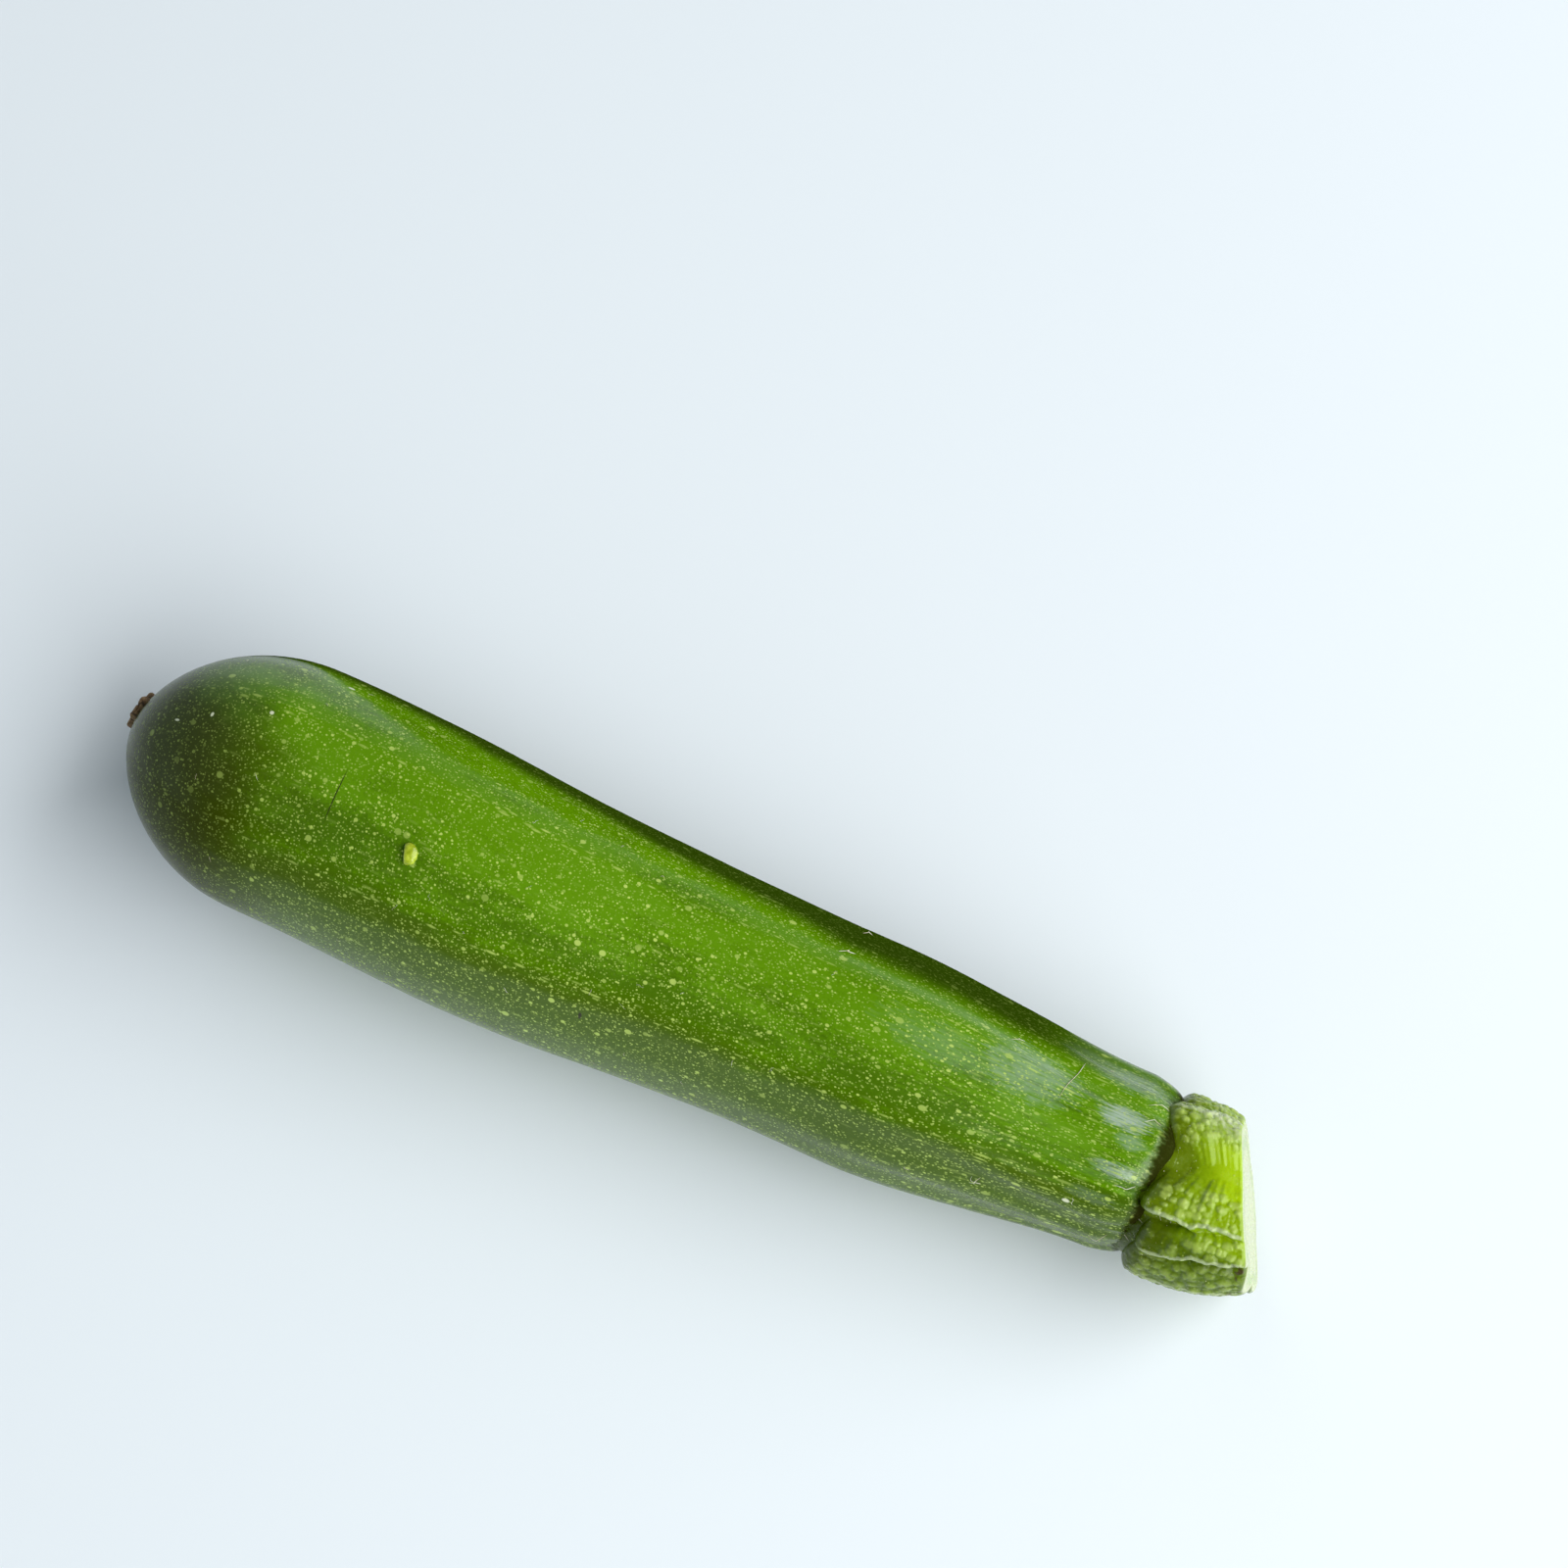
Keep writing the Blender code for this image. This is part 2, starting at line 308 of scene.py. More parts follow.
# The stem's lobes, which the fruit's shoulder is hollow under: crest angle, width on the +angle side,
# width on the other, how lean these two sides are, height, how far it reaches back over the fruit, and
# how far its crest turns on its way to the cut, in degrees and millimetres.
LOBES = (
    (80, 36, 24, 0.6, 0.6, 3.0, 3.0, 0),
    (46, 20, 33, 0.6, 1.3, 2.9, 4.6, 8),
    (-30, 33, 5, 1.3, 0.6, 3.1, 3.0, 5),
    (-53, 20, 6, 0.6, 0.6, 3.0, 1.6, 16),
    (-86, 30, 34, 0.6, 0.6, 3.2, 2.6, 6),
    (-152, 32, 30, 0.6, 0.6, 2.6, 3.0, 6),
    (148, 28, 30, 0.6, 0.6, 2.8, 2.5, 6),
)


def growing_rule(name):
    return Plan(bpy.data.node_groups.new(name, "GeometryNodeTree"))


def grow(name, plan, start=None):
    """Lets a growing rule work and returns what it makes as a plain mesh object."""
    seed = set_out(name + "_seed", start or bpy.data.meshes.new(name + "_seed"))
    rule = seed.modifiers.new("rule", "NODES")
    rule.node_group = plan.tree
    for identifier, value in plan.sizes.items():
        rule[identifier] = value
    depsgraph = bpy.context.evaluated_depsgraph_get()
    mesh = bpy.data.meshes.new_from_object(
        seed.evaluated_get(depsgraph), preserve_all_data_layers=True, depsgraph=depsgraph
    )
    seed.modifiers.remove(rule)
    bpy.data.objects.remove(seed)
    mesh.name = name
    return set_out(name, mesh)


def lobe_cover(plan, angle):
    """1 under the crest of a lobe of the stem and 0 in the grooves between, at the stem's foot."""
    cover = 0.0
    for crest, wide_plus, wide_minus, lean_plus, lean_minus, height, reach_back, twist in LOBES:
        turned = math.radians(crest - twist / 2)
        off = plan.sum_of("WRAP", angle - turned, math.pi, -math.pi)
        plus = plan.ramp(off, 0.0, math.radians(wide_plus), 0.0, math.pi / 2, "LINEAR")
        minus = plan.ramp(off, -math.radians(wide_minus), 0.0, math.pi / 2, 0.0, "LINEAR")
        sides = [plan.sum_of("MAXIMUM", plan.sum_of("COSINE", side), 0.0) for side in (plus, minus)]
        cover = plan.sum_of("MAXIMUM", cover, sides[0] ** lean_plus * sides[1] ** lean_minus)
    return cover


def cap_share(plan, left, cap, powers):
    """How much of the radius is left this far from an end."""
    inner, outer = powers
    missing = plan.ramp(left, 0.0, cap, 1.0, 0.0, "LINEAR") ** inner
    return plan.sum_of("MAXIMUM", 1.0 - missing, 0.0) ** outer


def fruit_rule(finish):
    """The growing rule of the fruit: a sphere's points are slid along and pushed out to the skin."""
    plan = growing_rule("fruit_rule")
    length = plan.size("Length", FRUIT_LENGTH)
    belly = plan.size("Belly radius", BELLY_RADIUS)
    waist = plan.size("Waist radius", WAIST_RADIUS)
    neck = plan.size("Neck radius", NECK_RADIUS)
    ridge = plan.size("Ridge height", RIDGE)
    bow = plan.size("Bow", BOW)
    sides = plan.size("Sides", FRUIT_SIDES, "NodeSocketInt")
    rings = plan.size("Rings", FRUIT_RINGS, "NodeSocketInt")
    skin = plan.size("Skin", finish, "NodeSocketMaterial")

    ball = plan.node("GeometryNodeMeshUVSphere", {"Segments": sides, "Rings": rings, "Radius": 1.0})
    x, y, z = plan.parts(plan.get(plan.node("GeometryNodeInputPosition")))
    angle = plan.sum_of("ARCTAN2", y, x)
    along = (1.0 - z) * 0.5 * length

    body = belly + (waist - belly) * plan.ramp(along, *BELLY_TO_WAIST)
    body = body + (neck - waist) * plan.ramp(along, *WAIST_TO_NECK)
    turned = angle - FIRST_RIDGE + plan.ramp(along, *NECK_TWISTS, 0.0, NECK_TWIST)
    lesser = plan.ramp(along, *LESSER_RIDGES_RISE, LESSER_RIDGE_ON_BODY, LESSER_RIDGE_AT_NECK)
    on_ridge = plan.sum_of("COSINE", turned * RIDGES)
    edge = plan.sum_of("EXPONENT", (on_ridge - 1.0) / RIDGE_EDGE_WIDTH) * RIDGE_EDGE
    corners = ridge * on_ridge + edge + lesser * plan.sum_of("COSINE", turned * (2 * RIDGES))
    creases = plan.ramp(along, *NECK_CREASES_RISE) * NECK_CREASE
    corners = corners - creases * (1.0 + plan.sum_of("COSINE", turned * NECK_CREASES))
    hollow = lobe_cover(plan, angle) * plan.ramp(along, *SHOULDER_HOLLOWS, 0.0, SHOULDER_HOLLOW)
    ends = cap_share(plan, along, FLOWER_CAP, FLOWER_CAP_POWERS)
    ends = ends * cap_share(plan, length - along, SHOULDER_CAP, SHOULDER_CAP_POWERS) * (1.0 - hollow)
    radius = (body + corners * plan.ramp(along, *RIDGES_RISE)) * ends

    across = CENTRING - bow * plan.ramp(along, *BOWS) - plan.ramp(along, *NECK_BENDS, 0.0, NECK_BEND)
    held = plan.sum_of("MINIMUM", along, WAIST_TO_NECK[0])
    height = belly + (waist - belly) * plan.ramp(held, *BELLY_TO_WAIST) - RESTING_SINK
    out_y = radius * plan.sum_of("SINE", angle)
    out_z = radius * plan.sum_of("COSINE", angle)

    slower = plan.ramp(along, *GRAIN_STRETCHES, 0.0, 1 - GRAIN_AT_NECK, "LINEAR")
    grain_x = along - slower * (along - GRAIN_STRETCHES[0]) * 0.5
    grain = plan.place(grain_x, out_y * GRAIN_RADIUS / body, out_z * GRAIN_RADIUS / body)
    grown = plan.get(ball)
    for name, kind, value in (("grain", "FLOAT_VECTOR", grain), ("on_ridge", "FLOAT", on_ridge)):
        inputs = {"Geometry": grown, "Name": name, "Value": value}
        grown = plan.get(plan.node("GeometryNodeStoreNamedAttribute", inputs, data_type=kind))

    skin_place = plan.place(along + FLOWER_END_X, across + out_y, height + out_z)
    grown = plan.get(plan.node("GeometryNodeSetPosition", {"Geometry": grown, "Position": skin_place}))
    here = plan.get(plan.node("GeometryNodeInputPosition"))
    normal = plan.get(plan.node("GeometryNodeInputNormal"))
    swell = (plan.clouds(here, SWELL_LENGTH, 1.0) - 1.0) * SWELLS
    dimple = (plan.clouds(here, DIMPLE_LENGTH, 2.0) - 1.0) * DIMPLES
    inputs = {"Geometry": grown, "Offset": plan.scaled(normal, swell + dimple)}
    grown = plan.get(plan.node("GeometryNodeSetPosition", inputs))
    x, y, z = plan.parts(here)
    resting = plan.place(x, y, plan.sum_of("MAXIMUM", z, 0.0))
    grown = plan.get(plan.node("GeometryNodeSetPosition", {"Geometry": grown, "Position": resting}))
    grown = plan.get(plan.node("GeometryNodeSetShadeSmooth", {0: grown}))
    plan.hand_over(grown, skin)
    return plan


def own(plan, name, output="Fac"):
    """What the piece itself says at a point."""
    return plan.get(plan.node("ShaderNodeAttribute", attribute_name=name), output)


def spots(plan, vector, cell, size, kept, soft):
    """Round spots strewn on the skin: how strongly one shows here. Sizes are shares of a cell."""
    cells = plan.node("ShaderNodeTexVoronoi", {"Vector": vector, "Scale": 1 / cell})
    chance, girth, tone = plan.parts(plan.get(cells, "Color"))
    radius = (girth * 0.7 + 0.5) * size
    inside = plan.ramp(plan.get(cells, "Distance") - radius, -soft, soft, 1.0, 0.0)
    return inside * plan.ramp(chance, 1 - kept - 0.04, 1 - kept + 0.04) * (tone * 0.6 + 0.4)


SKIN_CLOUDS = (
    # stretch along the fruit, size, detail and roughness of the mottling, streaks, grit and fibres
    (0.45, 9.0 * MM, 3.0, 0.6),
    (0.08, 1.3 * MM, 2.0, 0.6),
    (1.0, 0.55 * MM, 2.0, 0.7),
    (0.2, 0.5 * MM, 2.0, 0.7),
)
SKIN_LIT = (0.104, 0.252, 0.001)
SKIN_DEEP = (0.058, 0.138, 0.001)
SKIN_OLIVE = (0.030, 0.038, 0.001)
SKIN_SHADED_SIDE = (0.020, 0.040, 0.001)
SKIN_UNDER = (0.058, 0.105, 0.003)
BLOOM_AND_SHEEN_COLOUR = (0.40, 0.50, 0.42)
COLLAR_AND_SHADE_COLOUR = (0.014, 0.012, 0.002)
SPOT_COLOUR = (0.44, 0.58, 0.12)
SPOT_STRETCH = 0.85
SPOT_LAYERS = (
    # cell, size in the cell, share kept, softness, strength
    (3.3 * MM, 0.150, 0.90, 0.025, 0.90),
    (1.60 * MM, 0.165, 0.92, 0.035, 0.95),
    (0.80 * MM, 0.210, 0.95, 0.06, 1.0),
    (0.46 * MM, 0.28, 0.95, 0.10, 0.85),
)
# Pale patches near the neck: partly wax bloom, partly a painted sheen where the skin reflects bright
# light.
BLOOM_AND_SHEEN_PATCHES = (
    # distance along the fruit, degrees round it, half its length, half its width in degrees, strength
    (158.0 * MM, 6, 13.0 * MM, 12, 0.14),
    (173.0 * MM, 14, 9.5 * MM, 19, 0.36),
    (190.5 * MM, 11, 4.6 * MM, 10, 0.85),
    (193.0 * MM, -2, 3.2 * MM, 5, 0.35),
    (192.0 * MM, -22, 4.6 * MM, 6, 0.55),
    (190.0 * MM, -43, 5.0 * MM, 4, 0.15),
    (190.0 * MM, 46, 7.0 * MM, 15, 0.36),
)
COLLAR = (196.2 * MM, 198.4 * MM)
NEAR_STEM = (140.0 * MM, 196.0 * MM)
# Where the skin faces up it is pushed towards the lighter SKIN_LIT tone: painted light.
FACING_UP = (math.radians(-32), math.radians(3))
SKIN_TONES = (0.40, 0.84)
WAVER = 0.30
DASH_LENGTH = 1.7 * MM
DASH_WIDTH = 0.40 * MM
OLIVE_END = (9.0 * MM, 40.0 * MM)
OLIVE_LEAN = (math.radians(-8), math.radians(26))
OLIVE_SHIFT = (10.0 * MM, -6.0 * MM)
OLIVE_WAVER = 16.0 * MM
# The far side (+Y) is painted darker: painted shade, with some of the skin's own darker green.
DARK_SIDE_STARTS = (math.radians(62), math.radians(38))
DARK_SIDE_FALLS = (40.0 * MM, 150.0 * MM)
DARK_SIDE_ENDS = (168.0 * MM, 190.0 * MM)
DARK_SIDE_EDGE = 0.16
UNDERSIDE_STARTS = math.radians(-40)
UNDERSIDE_EDGE = math.radians(9)
# Where the skin shines. It is dull on the far side, and between its lit top and the veil of shine low on
# the near side; the veil starts higher up towards the neck.
DULL_SIDE_STARTS = (math.radians(52), math.radians(23))
DULL_SIDE_FALLS = (18.0 * MM, 62.0 * MM)
DULL_SIDE_EDGE = math.radians(15)
DULL_SIDE_ENDS = (174.0 * MM, 190.0 * MM)
SHINY_TOP = (math.radians(-36), math.radians(-28))
SHINY_EDGE = (math.radians(-92), math.radians(-58))
VEIL_STARTS = (math.radians(-57), math.radians(-40))
VEIL_RISES = (32.0 * MM, 160.0 * MM)
VEIL_EDGE = math.radians(4)
VEIL_FREE_END = (14.0 * MM, 34.0 * MM)
# The marks of a life outdoors: distance along the fruit, degrees round it, half the length, half the
# width, and whether it is pale.
MARKS = (
    (12.7 * MM, -2.4, 0.5 * MM, 0.3 * MM, True),
    (18.8 * MM, 4.8, 0.3 * MM, 0.5 * MM, True),
    (28.7 * MM, 14.1, 0.4 * MM, 0.4 * MM, True),
    (37.0 * MM, 53, 0.7 * MM, 0.4 * MM, True),
    (186.4 * MM, -51.4, 0.7 * MM, 0.6 * MM, True),
    (45.4 * MM, -7.5, 0.12 * MM, 5.2 * MM, False),
    (98.1 * MM, -54.5, 0.35 * MM, 0.9 * MM, False),
)
MARK_PALE = (0.70, 0.74, 0.52)
MARK_DARK = (0.022, 0.020, 0.008)


def patch(plan, along, angle, at, round_at, long, wide):
    """How far out of an oval patch of the skin a point is: 0 in its middle, 1 on its edge."""
    off_along, off_round = (along - at) / long, (angle - math.radians(round_at)) / wide
    return off_along * off_along + off_round * off_round


def courgette_skin():
    """Glossy, waxy skin: mottled green, painted lighter on top and painted shade on the far side, olive at
    the flower end, strewn with pale spots and dashes.
    """
    made, plan, shader = finish_of("courgette_skin")
    grain = own(plan, "grain", "Vector")
    grain_x, grain_y, grain_z = plan.parts(grain)
    angle = plan.sum_of("ARCTAN2", grain_y, grain_z)
    along = plan.parts(plan.place_on_piece())[0] - FLOWER_END_X
    mottle, streaks, grit, fibres = [
        plan.clouds(plan.stretched(grain, (stretch, 1, 1)), size, detail, roughness)
        for stretch, size, detail, roughness in SKIN_CLOUDS
    ]

    near_stem = plan.ramp(along, *NEAR_STEM)
    uneven = (streaks - 0.5) * (near_stem * 0.7 + 0.35) + (grit - 0.5) * 0.55
    # Mottling and grit mix the two greens; the FACING_UP term adds painted light on the top.
    tone = plan.ramp(mottle + uneven + plan.ramp(angle, *FACING_UP) * 0.30, *SKIN_TONES)
    colour = plan.mixed(tone, SKIN_DEEP, SKIN_LIT)
    wavering = angle + (mottle - 0.5) * WAVER
    # Painted shade on the far side, with some of the skin's own darker green; the spots fade in it too.
    dark_from = plan.ramp(along, *DARK_SIDE_FALLS, *DARK_SIDE_STARTS, "LINEAR")
    shaded_side = plan.ramp(wavering - dark_from, -DARK_SIDE_EDGE, DARK_SIDE_EDGE)
    shaded_side = shaded_side * plan.ramp(along, *DARK_SIDE_ENDS, 1.0, 0.35)
    colour = plan.mixed(shaded_side * 0.92, colour, SKIN_SHADED_SIDE)
    below = wavering - UNDERSIDE_STARTS + (streaks - 0.5) * 0.16
    underside = plan.ramp(below, -UNDERSIDE_EDGE, UNDERSIDE_EDGE, 1.0, 0.0)
    colour = plan.mixed(underside * 0.85, colour, SKIN_UNDER)
    olive_from = plan.ramp(angle, *OLIVE_LEAN, *OLIVE_SHIFT)
    olive = plan.ramp(along + (mottle - 0.5) * OLIVE_WAVER - olive_from, *OLIVE_END, 1.0, 0.0)
    colour = plan.mixed(olive * 0.95, colour, SKIN_OLIVE)

    # Wax bloom with painted sheen, in broken patches near the neck.
    bloom_and_sheen = 0.0
    for at, round_at, long, wide, strength in BLOOM_AND_SHEEN_PATCHES:
        off = patch(plan, along, angle, at, round_at, long, math.radians(wide))
        broken = off + (fibres - 0.5) * 3.0 + (mottle - 0.5) * 1.2
        bloom_and_sheen = plan.sum_of("MAXIMUM", bloom_and_sheen, plan.ramp(broken, -0.3, 1.2, strength, 0.0))
    colour = plan.mixed(bloom_and_sheen, colour, BLOOM_AND_SHEEN_COLOUR)

    speckle = 0.0
    for cell, size, kept, soft, strength in SPOT_LAYERS:
        layer = spots(plan, plan.stretched(grain, (SPOT_STRETCH, 1, 1)), cell, size, kept, soft)
        speckle = plan.sum_of("MAXIMUM", speckle, layer * strength)
    dashes = plan.stretched(grain, (DASH_WIDTH / DASH_LENGTH, 1, 1))
    dashes = spots(plan, dashes, DASH_WIDTH * 2, 0.28, 0.8, 0.12)
    lesser_line = plan.ramp(own(plan, "on_ridge"), -1.0, -0.985, 0.45, 0.0)
    line = plan.ramp(own(plan, "on_ridge"), 0.93, 0.995) + lesser_line + near_stem * 0.35 + 0.12
    speckle = plan.sum_of("MAXIMUM", speckle, dashes * plan.sum_of("MINIMUM", line, 0.9))
    faint = (1.0 - olive * 0.6) * (1.0 - shaded_side * 0.75)
    colour = plan.mixed(speckle * faint, colour, SPOT_COLOUR)
    for at, round_at, long, wide, pale in MARKS:
        off = patch(plan, along, angle, at, round_at, long, wide / BELLY_RADIUS)
        colour = plan.mixed(plan.ramp(off, 0.4, 1.3, 0.9, 0.0), colour, MARK_PALE if pale else MARK_DARK)
    # A near-black ring at the stem's foot: the brown scar where the stem joins, darkened with painted
    # shade in the crevice under the lobes, and dull.
    collar_and_shade = plan.ramp(along + (streaks - 0.5) * 3 * MM, *COLLAR, 0.0, 0.95)
    colour = plan.mixed(collar_and_shade, colour, COLLAR_AND_SHADE_COLOUR)

    dull_from = plan.ramp(along, *DULL_SIDE_FALLS, *DULL_SIDE_STARTS)
    dull = plan.ramp(wavering - dull_from, 0.0, DULL_SIDE_EDGE)
    dull = plan.sum_of("MAXIMUM", dull * plan.ramp(along, *DULL_SIDE_ENDS, 1.0, 0.2), collar_and_shade)
    veil_from = plan.ramp(along, *VEIL_RISES, *VEIL_STARTS, "LINEAR")
    veil = plan.ramp(wavering - veil_from, -VEIL_EDGE, VEIL_EDGE, 1.0, 0.15)
    veil = plan.sum_of("MAXIMUM", veil, plan.ramp(angle, *SHINY_TOP))
    veil = plan.sum_of("MAXIMUM", veil, plan.ramp(along, *VEIL_FREE_END, 1.0, 0.0))
    gloss = plan.ramp(dull, 0.0, 1.0, 0.5, 0.0) * veil * plan.ramp(angle, *SHINY_EDGE, 1.5, 1.0)
    gloss = gloss * plan.ramp(underside, 0.0, 1.0, 1.0, 0.6) * plan.ramp(olive, 0.0, 1.0, 1.0, 0.3)
    plan.feed(shader, {
        "Base Color": colour,
        "Roughness": plan.ramp(mottle, 0.3, 0.7, 0.17, 0.26) + speckle * 0.08,
        "IOR": 1.48,
        "Specular IOR Level": gloss,
        "Normal": plan.relief(0.45, 0.12 * MM, grit * 0.6),
    })
    return made


fruit = grow("fruit_skin", fruit_rule(courgette_skin()))
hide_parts("fruit")
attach(fruit, "root")

# The stem's foot. Fleshy and lobed, it seats on the fruit's shoulder and was cut off at a slant with a
# knife. Its lobes overlap with pale, thin crests, and warts cover them; the cut face is wet and pale.

STEM_ROOT = 190.0 * MM
STEM_TIP = 201.0 * MM
STEM_CUT = 216.68 * MM
STEM_CORE = 13.3 * MM
ROOT_RADIUS = 12.0 * MM
STEM_SWELL = 0.35 * MM
LOBE_FALL = 0.13
STEM_OFFSET_Y = -0.8 * MM
STEM_OFFSET_Z = -0.6 * MM
CUT_NORMAL = (0.904, 0.370, 0.215)
TIP_ROUND = 2.6 * MM
RIM_ROUND = 0.9 * MM
WORN_SIDE = math.radians(-98)
WORN_FROM = 7.6 * MM
WORN_RADIUS = 9.2 * MM
WORN_STRETCH = 1.3
WORN_TAPER = 3.0 * MM
STEM_SINK = 0.22 * MM
STEM_FURROWS = (37, 61, 83)
STEM_FURROW = 0.0025 * MM
STEM_SIDES = 540
STEM_STAGES = (("root", 3), ("tip", 16), ("wall", 100), ("rim", 8), ("face", 22))
CREST_WIDTH = 2.1
CREST_LIFT = 0.32 * MM
CREST_WAVES = ((9.0, 1.5), (23.0, 0.7), (51.0, 0.35))
BLISTERS = (
    # cell, size in the cell, height, share kept
    (1.55 * MM, 0.66, 0.34 * MM, 0.8),
    (0.80 * MM, 0.60, 0.12 * MM, 0.8),
)
BLISTER_LENGTH = 1.25
BLISTER_SHIFT = 0.34
TOO_STEEP = (0.35, 1.0)
SMOOTH_GROOVE = (math.radians(13), math.radians(20))
LOWER_LOBES = (math.radians(38), math.radians(50))
PAPERY_STRIP = (math.radians(50), math.radians(13))
PAPERY_FROM = (0.1, 0.5)
STEM_SEED = 11


def smooth(value, low, high):
    """0 below low, 1 above high and an S-curve between."""
    share = np.clip((value - low) / (high - low), 0, 1)
    return share * share * (3 - 2 * share)


def smooth_mesh(name, points, faces):
    made = bpy.data.meshes.new(name)
    made.from_pydata(points, [], faces)
    made.shade_smooth()
    return made


def tell(mesh, name, values):
    """Gives each point of a mesh its number under that name."""
    mesh.attributes.new(name, "FLOAT", "POINT").data.foreach_set("value", values)


def lobe_shares(angle, towards_cut):
    """For each lobe, 1 on its crest falling to 0 in the grooves, and the degrees off its crest."""
    shares, offs = [], []
    for crest, wide_plus, wide_minus, lean_plus, lean_minus, height, reach_back, twist in LOBES:
        wave = sum(swing * np.sin(pace * towards_cut + crest) for pace, swing in CREST_WAVES)
        turned = crest + twist * (towards_cut - 0.5) + wave * np.sin(towards_cut * math.pi)
        off = (np.degrees(angle) - turned + 180) % 360 - 180
        reach = np.minimum(np.abs(off) / np.where(off > 0, wide_plus, wide_minus), 1)
        lean = np.where(off > 0, lean_plus, lean_minus)
        shares.append(np.maximum(np.cos(reach * math.pi / 2), 0) ** lean)
        offs.append(off)
    return np.array(shares), np.array(offs)


def cut_distance(radius, angle):
    """How far along the fruit the knife cut lies here; on the worn side it curves back to the fruit."""
    y, z = radius * np.sin(angle), radius * np.cos(angle)
    plane = STEM_CUT - CUT_NORMAL[1] / CUT_NORMAL[0] * y - CUT_NORMAL[2] / CUT_NORMAL[0] * z
    past = np.clip((radius * np.cos(angle - WORN_SIDE) - WORN_FROM) / WORN_RADIUS, 0, 1)
    return plane - WORN_STRETCH * WORN_RADIUS * (1 - np.sqrt(1 - past * past))


def wall_radius(share, angle, height):
    """The stem's radius a share of the way to the cut: swollen midway, and tapered on the worn side."""
    swell = STEM_SWELL * math.sin(share * math.pi)
    taper = WORN_TAPER * share**3 * np.maximum(np.cos(angle - WORN_SIDE), 0) ** 4
    return STEM_CORE + height * (1 - LOBE_FALL * share) + swell - taper


def stem_ring(stage, share, angle):
    """(distances along, radii, way to the cut, lobe shares, degrees off the crests) of one ring."""
    towards_cut = {"root": 0.0, "tip": 0.0, "wall": share}.get(stage, 1.0)
    shares, offs = lobe_shares(angle, towards_cut)
    heights = np.array([lobe[5] for lobe in LOBES])[:, None] * MM
    height = (shares * heights).max(0)
    reach_back = (shares * np.array([lobe[6] for lobe in LOBES])[:, None]).max(0) * MM
    first = STEM_TIP - reach_back
    full = wall_radius(1.0, angle, height)
    face = full - RIM_ROUND
    last = cut_distance(face, angle) - RIM_ROUND
    turn = share * math.pi / 2
    if stage == "root":
        place = STEM_ROOT, ROOT_RADIUS * share
    elif stage == "tip":
        place = first + TIP_ROUND * (1 - math.cos(turn)), STEM_CORE + height * math.sin(turn)
    elif stage == "wall":
        first = first + TIP_ROUND
        place = first + (last - first) * share, wall_radius(share, angle, height)
    elif stage == "rim":
        place = last + RIM_ROUND * math.sin(turn), full - RIM_ROUND * (1 - math.cos(turn))
    else:
        place = cut_distance(face * (1 - share), angle), face * (1 - share)
    return (*place, towards_cut, shares, offs)


def blister_field(along, angle, strew, cell, size, height, kept):
    """The height of round blisters, packed one to a shaken cell of the stem's skin, at each point."""
    turns = round(2 * math.pi * (STEM_CORE + 2 * MM) / cell)
    first = STEM_TIP - 8 * MM
    rows = int((STEM_CUT + 14 * MM - first) / cell) + 3
    shifts = strew.uniform(-BLISTER_SHIFT, BLISTER_SHIFT, (rows, turns, 2))
    girths = strew.uniform(0.5, 1.0, (rows, turns)) * (strew.random((rows, turns)) < kept)
    down, across = (along - first) / cell, angle / (2 * math.pi) * turns
    field = np.zeros_like(along)
    for step_down in (-1, 0, 1):
        for step_across in (-1, 0, 1):
            row = np.floor(down).astype(int) + step_down
            column = np.floor(across).astype(int) + step_across
            cell_of = np.clip(row, 0, rows - 1), column % turns
            girth = girths[cell_of] + 1e-6
            off = ((down - row - 0.5 - shifts[cell_of][..., 0]) / BLISTER_LENGTH) ** 2
            off = off + (across - column - 0.5 - shifts[cell_of][..., 1]) ** 2
            dome = girth * height * np.maximum(1 - off / (size * girth) ** 2, 0) ** 0.8
            field = np.maximum(field, dome)
    return field


